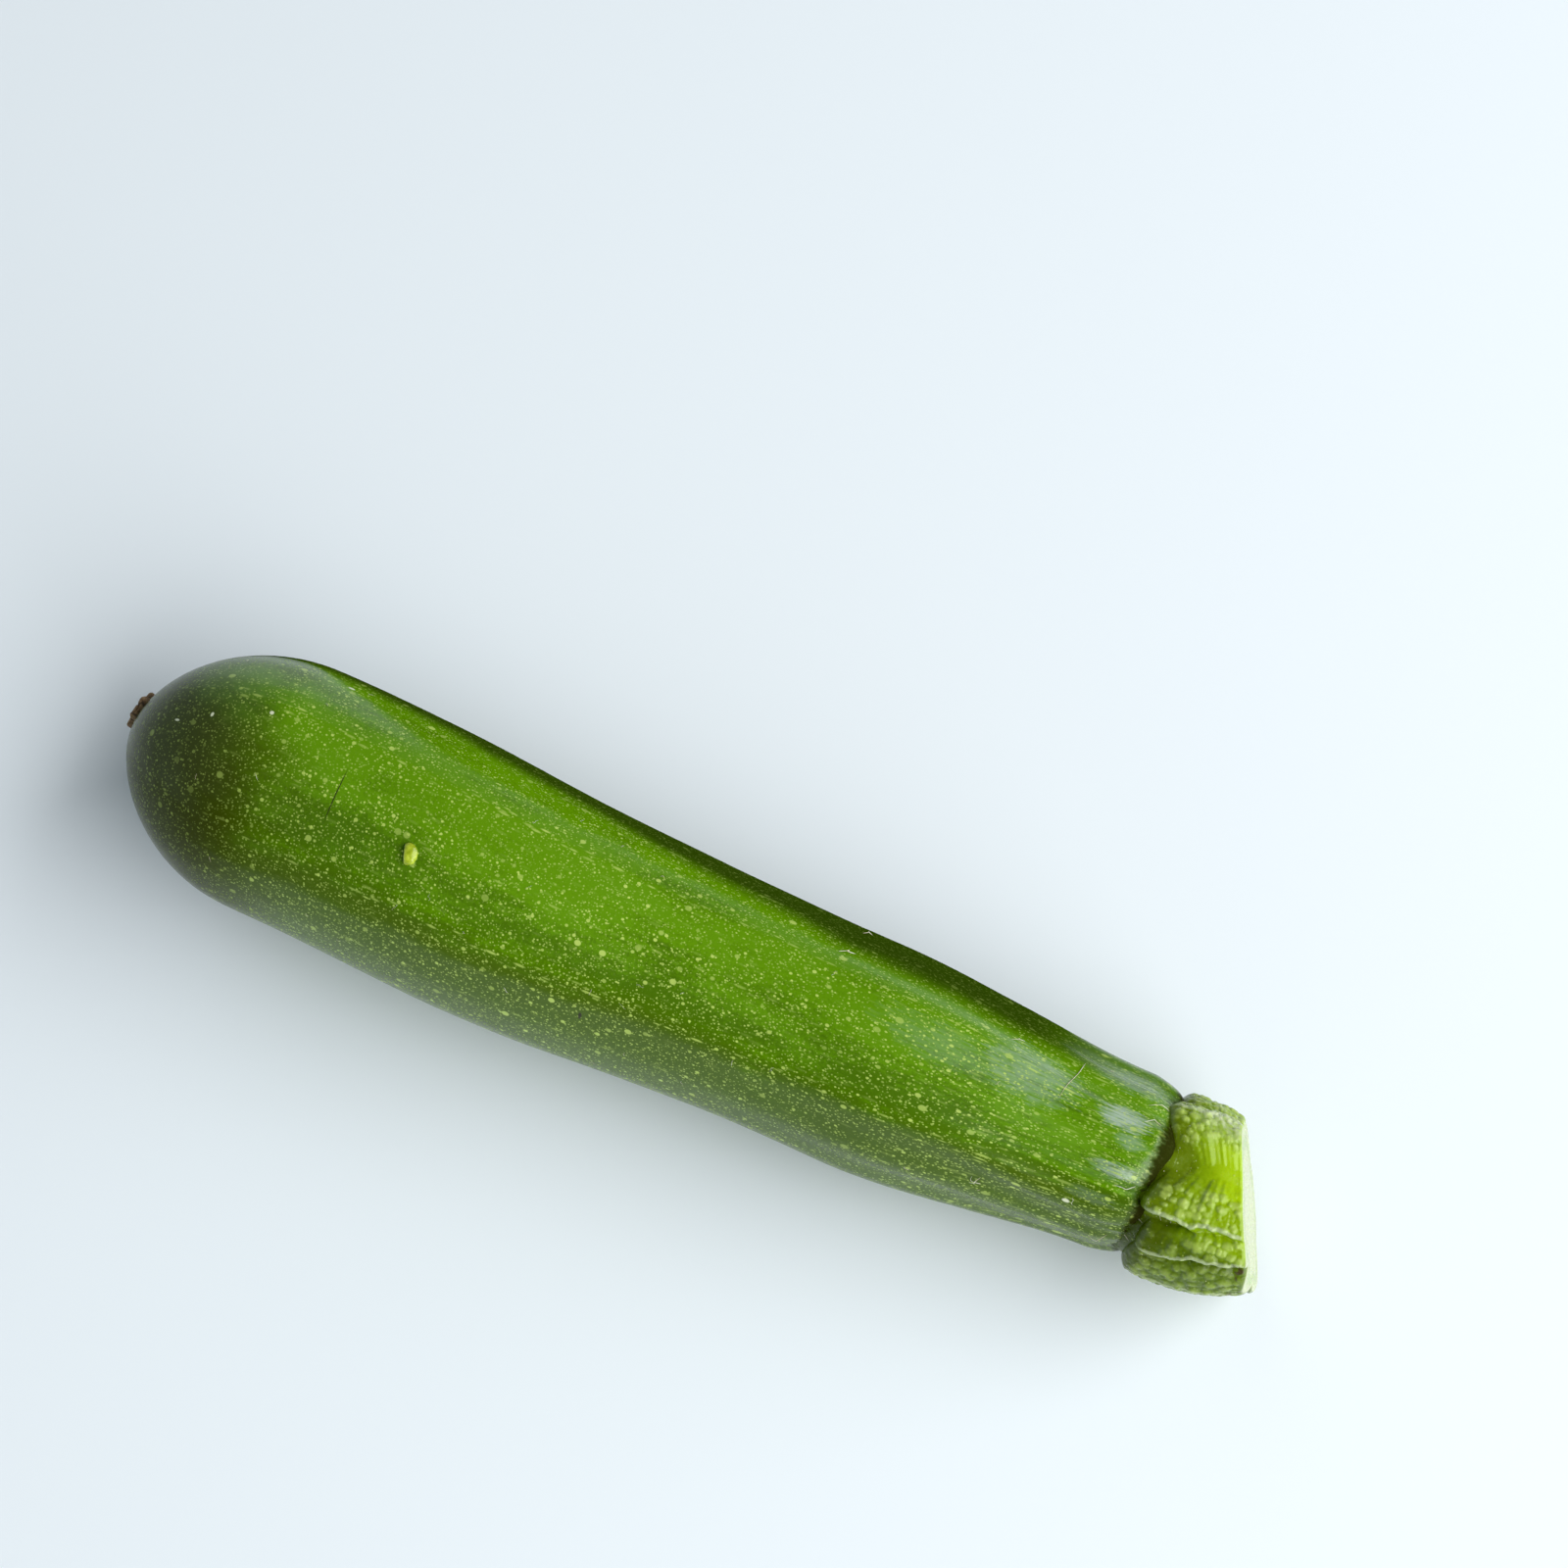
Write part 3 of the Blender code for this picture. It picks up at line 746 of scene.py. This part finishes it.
def stem_mesh():
    """The stem as one closed skin, with what its finish needs to know at each point."""
    angle = np.linspace(-math.pi, math.pi, STEM_SIDES, endpoint=False)
    rows = []
    for stage, count in STEM_STAGES:
        for step in range(1, count + 1):
            share = step / count
            if stage == "root":
                share = (step - 1 + 0.4) / (count - 0.6)
            if stage == "face" and step == count:
                continue
            along, radius, to_cut, shares, offs = stem_ring(stage, share, angle)
            rows.append({
                "angle": angle, "along": along, "radius": radius, "to_cut": to_cut, "lobe": shares.max(0),
                "crest": np.exp(-((offs / CREST_WIDTH) ** 2)).max(0),
                "on_wall": {"tip": share, "wall": 1.0, "rim": 1 - share}.get(stage, 0.0),
                "cut_face": {"rim": share**4, "face": 1.0}.get(stage, 0.0),
                "face_share": 1 - share if stage == "face" else 1.0,
            })
    grid = {name: np.array([np.broadcast_to(row[name], angle.shape) for row in rows]) for name in rows[0]}
    strew = np.random.default_rng(STEM_SEED)
    groove = smooth(np.abs(grid["angle"] - SMOOTH_GROOVE[0]) / SMOOTH_GROOVE[1], 0.4, 1.0)
    rough = 1 - (1 - groove) * smooth(grid["to_cut"], 0.15, 0.45)
    rough *= (0.35 + 0.65 * smooth(grid["lobe"], 0.1, 0.7)) * grid["on_wall"]
    rise = np.roll(grid["radius"], -1, 1) - np.roll(grid["radius"], 1, 1)
    steep = np.abs(rise) / (4 * math.pi / STEM_SIDES * grid["radius"])
    rough *= 1 - 0.9 * smooth(steep, *TOO_STEEP)
    warts = sum(blister_field(grid["along"], grid["angle"], strew, *layer) for layer in BLISTERS) * rough
    furrows = sum(
        np.sin(count * grid["angle"] + 9 * np.sin(grid["to_cut"] * 2 + count)) for count in STEM_FURROWS
    )
    lift = CREST_LIFT * grid["crest"] + STEM_FURROW * furrows - STEM_SINK
    radius = grid["radius"] + warts + lift * grid["on_wall"]
    centre_y = CENTRING - BOW - NECK_BEND + STEM_OFFSET_Y
    centre_z = WAIST_RADIUS - RESTING_SINK + STEM_OFFSET_Z
    x = FLOWER_END_X + grid["along"]
    y = centre_y + radius * np.sin(grid["angle"])
    z = centre_z + radius * np.cos(grid["angle"])
    points = np.stack([x, y, z], -1).reshape(-1, 3)
    root = (FLOWER_END_X + STEM_ROOT, centre_y, centre_z)
    face = (FLOWER_END_X + float(cut_distance(np.array([0.0]), np.array([0.0]))[0]), centre_y, centre_z)
    points = np.concatenate([points, [root, face]])
    count = len(rows)
    faces = []
    for ring in range(count - 1):
        low, high = ring * STEM_SIDES, (ring + 1) * STEM_SIDES
        for side in range(STEM_SIDES):
            after = (side + 1) % STEM_SIDES
            faces.append((low + side, low + after, high + after, high + side))
    root_number, face_number, last = len(points) - 2, len(points) - 1, (count - 1) * STEM_SIDES
    for side in range(STEM_SIDES):
        after = (side + 1) % STEM_SIDES
        faces.append((root_number, after, side))
        faces.append((last + side, last + after, face_number))
    mesh = smooth_mesh("stem_foot", points.tolist(), faces)
    wart_share = warts / BLISTERS[0][2]
    papery_strip = np.exp(-(((grid["angle"] - PAPERY_STRIP[0]) / PAPERY_STRIP[1]) ** 2))
    told = {"crest": (grid["crest"] * grid["on_wall"], 0, 0), "wart": (wart_share, 0, 0),
            "lobe": (grid["lobe"], 0, 1), "to_cut": (grid["to_cut"], 0, 1),
            "cut_face": (grid["cut_face"], 0, 1), "face_share": (grid["face_share"], 0, 0),
            "lower": (smooth(-grid["angle"], *LOWER_LOBES), 1, 1),
            "papery": (smooth(grid["to_cut"], *PAPERY_FROM) * papery_strip * grid["on_wall"], 0, 0)}
    for name, (values, at_root, at_face) in told.items():
        tell(mesh, name, np.concatenate([values.reshape(-1), [at_root, at_face]]).astype(np.float32))
    return mesh


STEM_GREEN = (0.185, 0.300, 0.001)
STEM_LOWER = (0.085, 0.142, 0.001)
STEM_LIT_GREEN = (0.330, 0.500, 0.001)
STEM_FOOT_SHADE = (0.050, 0.070, 0.001)
WART_COLOUR = (0.38, 0.50, 0.10)
CREST_COLOUR = (0.42, 0.50, 0.26)
PAPERY_COLOUR = (0.52, 0.58, 0.38)
CUT_COLOUR = (0.42, 0.47, 0.25)
CUT_RING_COLOUR = (0.24, 0.36, 0.08)
STEM_BROWN = (0.050, 0.030, 0.012)


def stem_flesh():
    """Wet, fleshy green, paler on warts and crests, with painted light towards the cut and in the grooves,
    painted shade at the foot, and a pale cut face.
    """
    made, plan, shader = finish_of("stem_flesh")
    coords = plan.place_on_piece()
    to_cut, lobe, lower = own(plan, "to_cut"), own(plan, "lobe"), own(plan, "lower")
    cut_face, face_share = own(plan, "cut_face"), own(plan, "face_share")
    mottle = plan.clouds(coords, 2.4 * MM, 4.0, 0.6)
    fine = plan.clouds(coords, 0.5 * MM, 3.0, 0.6)
    # Brighter towards the cut and in the grooves: painted light, over the grooves' own paler green.
    lit_towards_cut = plan.ramp(to_cut + (mottle - 0.5) * 0.5, 0.15, 0.9) * plan.ramp(lobe, 0.3, 0.9, 1.0, 0.3)
    colour = plan.mixed(lit_towards_cut * (1.0 - lower), plan.mixed(lower, STEM_GREEN, STEM_LOWER), STEM_LIT_GREEN)
    # Darker at the foot where it meets the fruit: painted shade.
    dark = plan.ramp(to_cut + (mottle - 0.5) * 0.3, 0.0, 0.25, 0.55, 0.0)
    colour = plan.mixed(dark, colour, STEM_FOOT_SHADE)
    top = plan.ramp(own(plan, "wart") + (fine - 0.5) * 0.6, 0.1, 1.1)
    colour = plan.mixed(top * (0.9 - lower * 0.5), colour, WART_COLOUR)
    flecks = spots(plan, coords, 0.8 * MM, 0.22, 0.5, 0.10)
    colour = plan.mixed(flecks * 0.6, colour, WART_COLOUR)
    crest = plan.ramp(own(plan, "crest") + (fine - 0.5) * 0.7, 0.35, 0.95)
    colour = plan.mixed(crest * 0.75, colour, CREST_COLOUR)
    papery = own(plan, "papery") * plan.ramp(plan.clouds(coords, 0.9 * MM, 3.0), 0.35, 0.65, 0.25, 0.9)
    colour = plan.mixed(papery, colour, PAPERY_COLOUR)
    bruise = plan.ramp(plan.clouds(coords, 1.8 * MM, 3.0), 0.56, 0.64) * plan.ramp(to_cut, 0.82, 0.98)
    colour = plan.mixed(bruise * (lower * 0.8 + 0.1), colour, STEM_BROWN)
    ring = plan.ramp(face_share, 0.70, 0.80) * plan.ramp(face_share, 0.86, 0.95, 1.0, 0.0)
    strands = spots(plan, coords, 1.8 * MM, 0.22, 0.8, 0.1)
    cut = plan.mixed(ring * 0.55 + strands * ring, CUT_COLOUR, CUT_RING_COLOUR)
    plan.feed(shader, {
        "Base Color": plan.mixed(cut_face, colour, cut),
        "Roughness": plan.ramp(mottle, 0.3, 0.7, 0.18, 0.30),
        "Specular IOR Level": 0.3,
        "Subsurface Weight": 0.12,
        "Subsurface Radius": (0.6, 1.0, 0.15),
        "Subsurface Scale": 1.2 * MM,
        "Normal": plan.relief(0.5, 0.12 * MM, fine * 0.6 + flecks * 0.5),
    })
    return made


stem = set_out("stem_foot", stem_mesh(), stem_flesh())
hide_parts("stem")
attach(stem, "root")

# The bristles. Short, pale, stiff hairs, thickest round the stem's foot, as on any courgette that hasn't
# been rubbed clean. One rule strews them over the stem's own skin and bends each a little.

BRISTLE_LENGTHS = (0.6 * MM, 1.9 * MM)
BRISTLE_RADIUS = 0.11 * MM
BRISTLE_LEAN = math.radians(100)
BRISTLE_BEND = 0.35
BRISTLE_TIP = 0.2
BRISTLES_PER_SQUARE_METRE = 3.2e5
BRISTLES_THIN_OUT = (0.02, 0.22)
BRISTLES_BEYOND = 0.10
BRISTLES_ON_CREST = 0.6
BRISTLE_SEED = 5


def written(plan, name):
    """What a growing rule finds at a point of the mesh it starts from, under that name."""
    return plan.get(plan.node("GeometryNodeInputNamedAttribute", {"Name": name}, data_type="FLOAT"))


def tube(plan, path, sides, radius, taper):
    """A closed round tube along a path."""
    profile = plan.node("GeometryNodeCurvePrimitiveCircle", {"Resolution": sides, "Radius": radius})
    inputs = {"Curve": plan.get(path), "Profile Curve": plan.get(profile), "Scale": taper,
              "Fill Caps": True}
    return plan.get(plan.node("GeometryNodeCurveToMesh", inputs))


def bristle_rule(finish):
    """The growing rule of the bristles: points on the skin, each with one bent, tapered hair."""
    plan = growing_rule("bristle_rule")
    body = plan.start_from()
    density = plan.size("Density", BRISTLES_PER_SQUARE_METRE)
    seed = plan.size("Seed", BRISTLE_SEED, "NodeSocketInt")
    shortest = plan.size("Shortest", BRISTLE_LENGTHS[0])
    longest = plan.size("Longest", BRISTLE_LENGTHS[1])
    lean = plan.size("Lean", BRISTLE_LEAN)
    radius = plan.size("Radius", BRISTLE_RADIUS)
    hair_finish = plan.size("Finish", finish, "NodeSocketMaterial")

    thick = plan.ramp(written(plan, "to_cut"), *BRISTLES_THIN_OUT, 1.0, BRISTLES_BEYOND)
    thick = thick + written(plan, "crest") * BRISTLES_ON_CREST
    thick = thick * plan.ramp(written(plan, "cut_face"), 0.0, 0.01, 1.0, 0.0)
    inputs = {"Mesh": body, "Density": density * thick, "Seed": seed}
    strewn = plan.node("GeometryNodeDistributePointsOnFaces", inputs)
    spine = plan.node("GeometryNodeCurveQuadraticBezier", {
        "Resolution": 4, "Start": (0, 0, 0), "Middle": (0, 0, 0.6), "End": (BRISTLE_BEND, 0, 1),
    })
    taper = plan.ramp(plan.get(plan.node("GeometryNodeSplineParameter")), 0.0, 1.0, 1.0, BRISTLE_TIP)
    hair = tube(plan, spine, 4, radius / longest, taper)
    turns = plan.node("FunctionNodeRandomValue", {
        0: (0.0, 0.0, 0.0), 1: (1.0, 1.0, 2 * math.pi), "Seed": BRISTLE_SEED + 1,
    }, data_type="FLOAT_VECTOR")
    turn_x, turn_y, turn_z = plan.parts(plan.get(turns))
    tilt = plan.node("FunctionNodeRotateRotation", {
        0: plan.get(strewn, "Rotation"),
        1: plan.place((turn_x - 0.5) * lean, (turn_y - 0.5) * lean, turn_z),
    }, rotation_space="LOCAL")
    long = plan.node("FunctionNodeRandomValue", {2: shortest, 3: longest, "Seed": BRISTLE_SEED + 2})
    inputs = {"Points": plan.get(strewn), "Instance": hair, "Rotation": plan.get(tilt),
              "Scale": plan.get(long, 1)}
    plan.hand_over(plan.get(plan.node("GeometryNodeInstanceOnPoints", inputs)), hair_finish)
    return plan


HAIR_BROWN = (0.46, 0.40, 0.24)
HAIR_PALE = (0.80, 0.80, 0.66)


def dry_hair():
    """Dry, pale, dull hair and lint, a little brown here and there."""
    made, plan, shader = finish_of("dry_hair")
    coords = plan.place_on_piece()
    tone = plan.clouds(coords, 2.0 * MM, 3.0)
    plan.feed(shader, {
        "Base Color": plan.mixed(plan.ramp(tone, 0.35, 0.65), HAIR_BROWN, HAIR_PALE),
        "Roughness": plan.ramp(tone, 0.3, 0.7, 0.5, 0.7),
        "Normal": plan.relief(0.3, 0.02 * MM, plan.clouds(coords, 0.08 * MM)),
    })
    return made


hair_finish = dry_hair()
bristles = grow("bristles", bristle_rule(hair_finish), stem.data.copy())
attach(bristles, "root")

# The lint. Dry fibres that stuck to the skin: one lies across the neck, a few are curled up, a tuft
# clings to the stem's foot, and tiny ones lie all over. Each follows a path laid on the skin.

LINT = (
    # where it starts and ends, in millimetres along and degrees round, its curl, its lift, its thickness
    (180.9, 39.6, 179.0, 6.0, 0.10, 0.04, 0.055),
    (134.8, 31.5, 137.6, 35.5, 0.75, 0.5, 0.070),
    (136.6, 63.0, 138.2, 67.5, 0.3, 0.5, 0.060),
    (167.8, 29.0, 170.0, 33.5, 0.5, 0.4, 0.045),
    (170.1, -65.5, 171.6, -59.0, 0.3, 0.9, 0.055),
    (171.8, -64.5, 170.2, -60.0, 0.4, 0.6, 0.045),
    (193.5, 30.0, 197.0, 35.0, 0.3, 0.9, 0.055),
    (193.8, 14.0, 196.6, 18.0, 0.4, 0.8, 0.050),
    (193.0, -31.0, 196.4, -27.0, 0.3, 0.9, 0.055),
    (192.0, -79.0, 195.0, -74.0, 0.3, 1.2, 0.050),
)
TUFT = (
    (202.0, 50.0, 206.5, 57.0, 0.4, 1.3, 0.050),
    (202.4, 54.0, 205.0, 47.0, 0.5, 1.6, 0.050),
    (201.4, 56.0, 203.8, 62.0, 0.3, 1.5, 0.060),
    (203.5, 46.0, 207.5, 44.0, 0.5, 0.7, 0.045),
)
TINY_LINT = 46
TINY_LINT_SPANS = (
    # where it starts along and round, the way it points, its length, its curl, its lift, its thickness
    (12, 192), (-120, 120), (-math.pi, math.pi), (0.5, 1.6), (0, 0.3), (0.02, 0.25), (0.016, 0.034),
)
LINT_STEPS = 12
LINT_SEED = 3


def looked_up(thing):
    """The skin of a piece, ready to be felt for."""
    return BVHTree.FromObject(thing, bpy.context.evaluated_depsgraph_get())


def stand_on(skin, along, degrees):
    """The stance of a thing that stands on a skin: its X runs along the fruit, its Z stands up."""
    held = min(along, WAIST_TO_NECK[0])
    height = BELLY_RADIUS + (WAIST_RADIUS - BELLY_RADIUS) * smooth(held, *BELLY_TO_WAIST) - RESTING_SINK
    across = CENTRING - BOW * smooth(along, *BOWS) - NECK_BEND * smooth(along, *NECK_BENDS)
    turn = math.radians(degrees)
    middle = Vector((FLOWER_END_X + along, across, height))
    place, out, *_ = skin.ray_cast(middle, Vector((0, math.sin(turn), math.cos(turn))))
    onward = (Vector((1, 0, 0)) - out * out.x).normalized()
    return Matrix.Translation(place) @ Matrix((onward, out.cross(onward), out)).transposed().to_4x4()


def laid_fibre(skin, fibre):
    """The points of one fibre's path, laid on the skin with its curl and its lift."""
    start, start_round, end, end_round, curl, lift, thickness = fibre
    points = []
    for step in range(LINT_STEPS + 1):
        share = step / LINT_STEPS
        along = (start + (end - start) * share) * MM
        stance = stand_on(skin, along, start_round + (end_round - start_round) * share)
        sway = curl * math.sin(2 * math.pi * share)
        lifted = lift * math.sin(math.pi * share) + thickness
        points.append(stance @ (Vector((sway, sway * 0.6, lifted)) * MM))
    return points


def fibre_rule(finish):
    """The growing rule of the lint: each laid path is given a round, tapered thickness."""
    plan = growing_rule("fibre_rule")
    body = plan.start_from()
    fibre_finish = plan.size("Finish", finish, "NodeSocketMaterial")
    paths = plan.node("GeometryNodeMeshToCurve", {0: body})
    way = plan.get(plan.node("GeometryNodeSplineParameter"))
    taper = plan.ramp(way, 0.0, 0.15, 0.4, 1.0) * plan.ramp(way, 0.8, 1.0, 1.0, 0.3)
    plan.hand_over(tube(plan, paths, 5, 1.0, written(plan, "thickness") * taper), fibre_finish)
    return plan


fruit_feel, stem_feel = looked_up(fruit), looked_up(stem)
strew = np.random.default_rng(LINT_SEED)
laid = [(fruit_feel, fibre) for fibre in LINT] + [(stem_feel, fibre) for fibre in TUFT]
for _ in range(TINY_LINT):
    start, start_round, way, long, *shape = [strew.uniform(*span) for span in TINY_LINT_SPANS]
    end = start + long * math.cos(way)
    end_round = start_round + math.degrees(long * math.sin(way) * MM / WAIST_RADIUS)
    laid.append((fruit_feel, (start, start_round, end, end_round, *shape)))
points, edges, thicknesses = [], [], []
for skin, fibre in laid:
    first = len(points)
    points += laid_fibre(skin, fibre)
    edges += [(number, number + 1) for number in range(first, first + LINT_STEPS)]
    thicknesses += [fibre[-1] * MM] * (LINT_STEPS + 1)
paths = bpy.data.meshes.new("lint_paths")
paths.from_pydata(points, edges, [])
tell(paths, "thickness", thicknesses)
lint = grow("lint", fibre_rule(hair_finish), paths)
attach(lint, "root")

# The bead. A drop of the fruit's own sap, yellow-green and glossy, that oozed out of the belly and dried
# there. It is stuck to the skin, an egg of it half sunk in, flat on one side.

BEAD_PLACE = (61.4 * MM, -16.4)
BEAD_HALF = (1.55 * MM, 1.95 * MM, 0.92 * MM)
BEAD_TURN = math.radians(18)
BEAD_SINK = 0.75 * MM
BEAD_FLAT = 0.45
BEAD_FLATNESS = 0.85
BEAD_LUMPS = 0.05
BEAD_RINGS = 40
BEAD_SIDES = 64
BEAD_GREEN = (0.22, 0.30, 0.006)
BEAD_YELLOW = (0.42, 0.52, 0.03)
BEAD_PALE = (0.62, 0.66, 0.40)


def faces_between_poles(rings, sides):
    """The faces of a skin whose points run from one pole, ring by ring, to the other."""
    faces = []
    last = 1 + (rings - 1) * sides
    for side in range(sides):
        after = (side + 1) % sides
        faces.append((0, 1 + after, 1 + side))
        faces.append((last - sides + side, last - sides + after, last))
        for ring in range(rings - 2):
            low, high = 1 + ring * sides, 1 + (ring + 1) * sides
            faces.append((low + side, low + after, high + after, high + side))
    return faces


def bead_mesh():
    """An egg with one flat side, half sunk in the skin, and how pale it is at each point."""
    stance = stand_on(fruit_feel, *BEAD_PLACE) @ Matrix.Rotation(BEAD_TURN, 4, "Z")
    middle = Vector((0, 0, BEAD_HALF[2] - BEAD_SINK))
    points, pale = [], []
    for ring in range(BEAD_RINGS + 1):
        for side in range(BEAD_SIDES if 0 < ring < BEAD_RINGS else 1):
            polar, turn = math.pi * ring / BEAD_RINGS, 2 * math.pi * side / BEAD_SIDES
            out = math.sin(polar)
            way = Vector((out * math.cos(turn), out * math.sin(turn), math.cos(polar)))
            flat = max(-way.x - BEAD_FLAT, 0)
            way.x += flat * BEAD_FLATNESS
            lump = 1 + BEAD_LUMPS * noise.noise(way * 2.2)
            point = Vector([half * lump * part for half, part in zip(BEAD_HALF, way)])
            points.append(stance @ (point + middle))
            pale.append(min(flat * 6, 1))
    faces = [face[:1] + face[:0:-1] for face in faces_between_poles(BEAD_RINGS, BEAD_SIDES)]
    mesh = smooth_mesh("sap_bead", points, faces)
    tell(mesh, "pale", pale)
    return mesh


def dried_sap():
    """Glossy, gummy yellow-green, mottled, paler on its flat side."""
    made, plan, shader = finish_of("dried_sap")
    coords = plan.place_on_piece()
    cloud = plan.clouds(coords, 1.2 * MM, 3.0)
    colour = plan.mixed(plan.ramp(cloud, 0.3, 0.7), BEAD_GREEN, BEAD_YELLOW)
    plan.feed(shader, {
        "Base Color": plan.mixed(own(plan, "pale") * 0.7, colour, BEAD_PALE),
        "Roughness": plan.ramp(cloud, 0.3, 0.7, 0.16, 0.30),
        "Normal": plan.relief(0.3, 0.05 * MM, plan.clouds(coords, 0.3 * MM)),
    })
    return made


bead = set_out("sap_bead", bead_mesh(), dried_sap())
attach(bead, "root")

# The flower scar. A thin corky disc where the flower dropped off, sunk into the flower end, brown and
# dry, with a cracked, lumpy rim round a dished middle.

SCAR_RADIUS = 3.6 * MM
SCAR_PROUD = 0.9 * MM
SCAR_DEPTH = 2.4 * MM
SCAR_DISH = 0.4 * MM
SCAR_SHIFT = (0.4 * MM, 3.2 * MM, 1.0 * MM)
SCAR_TURN = (0.0, math.radians(4), math.radians(-13))
SCAR_RIM_LUMPS = (7, 0.07)
SCAR_RIM_WAVES = (3, 0.04)
SCAR_SQUARENESS = 0.6
SCAR_SIDES = 180
SCAR_RINGS = 120
SCAR_CRACKS = 11
SCAR_CRACK_DEPTH = 0.28 * MM
SCAR_CRACKS_RISE = (0.8 * MM, 2.6 * MM)
SCAR_CRACK_WAVE = 2.0 * MM
SCAR_CRUMB = 0.22 * MM
SCAR_CRUMB_SIZE = 0.8 * MM
CORK_BROWN = (0.14, 0.075, 0.028)
CORK_PALE = (0.34, 0.22, 0.11)
CORK_CRACK = (0.03, 0.018, 0.008)


def scar_point(polar, angle):
    """A point of the scar's skin in its own frame, before it is tilted into place."""
    lumps, lump_height = SCAR_RIM_LUMPS
    waves, wave_height = SCAR_RIM_WAVES
    rim = 1 + lump_height * math.sin(lumps * angle) + wave_height * math.sin(waves * angle + 1)
    radius = SCAR_RADIUS * rim * max(math.sin(polar), 0.0) ** SCAR_SQUARENESS
    if polar > math.pi / 2:
        x = -SCAR_DEPTH * math.cos(polar)
    else:
        x = SCAR_DISH * (1 - (radius / SCAR_RADIUS) ** 2) - SCAR_PROUD * max(math.cos(polar), 0.0) ** 0.5
    point = Vector((x, radius * math.sin(angle), radius * math.cos(angle)))
    crumb = noise.fractal(point / SCAR_CRUMB_SIZE, 0.7, 2.2, 4)
    crack = abs(math.sin(SCAR_CRACKS / 2 * angle + 1.5 * noise.noise(point / SCAR_CRACK_WAVE))) ** 0.35
    worn = (1 - crack) * SCAR_CRACK_DEPTH * smooth(radius, *SCAR_CRACKS_RISE)
    if polar < math.pi / 2:
        point.x += worn + SCAR_CRUMB * (0.5 - 0.5 * crumb)
    return point, crack


def scar_mesh():
    """The disc, tilted and sunk into the flower end, with how cracked it is at each point."""
    place = Matrix.LocRotScale(
        Vector((FLOWER_END_X, CENTRING, BELLY_RADIUS - RESTING_SINK)) + Vector(SCAR_SHIFT),
        Euler(SCAR_TURN), None,
    )
    points, cracks = [], []
    for ring in range(SCAR_RINGS + 1):
        for side in range(SCAR_SIDES if 0 < ring < SCAR_RINGS else 1):
            point, crack = scar_point(math.pi * ring / SCAR_RINGS, 2 * math.pi * side / SCAR_SIDES)
            points.append(place @ point)
            cracks.append(crack)
    mesh = smooth_mesh("scar_cork", points, faces_between_poles(SCAR_RINGS, SCAR_SIDES))
    tell(mesh, "crack", cracks)
    return mesh


def scar_cork():
    """Dry brown cork, darker in its cracks, with greyish crumbs."""
    made, plan, shader = finish_of("scar_cork")
    crumbs = plan.clouds(plan.place_on_piece(), 0.6 * MM, 4.0, 0.65)
    colour = plan.mixed(plan.ramp(crumbs, 0.35, 0.65), CORK_BROWN, CORK_PALE)
    plan.feed(shader, {
        "Base Color": plan.mixed(plan.ramp(own(plan, "crack"), 0.3, 0.8, 0.85, 0.0), colour, CORK_CRACK),
        "Roughness": plan.ramp(crumbs, 0.3, 0.7, 0.75, 0.92),
        "Normal": plan.relief(0.7, 0.15 * MM, crumbs),
    })
    return made


scar = set_out("scar_cork", scar_mesh(), scar_cork())
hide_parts("flower_scar")
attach(scar, "root")
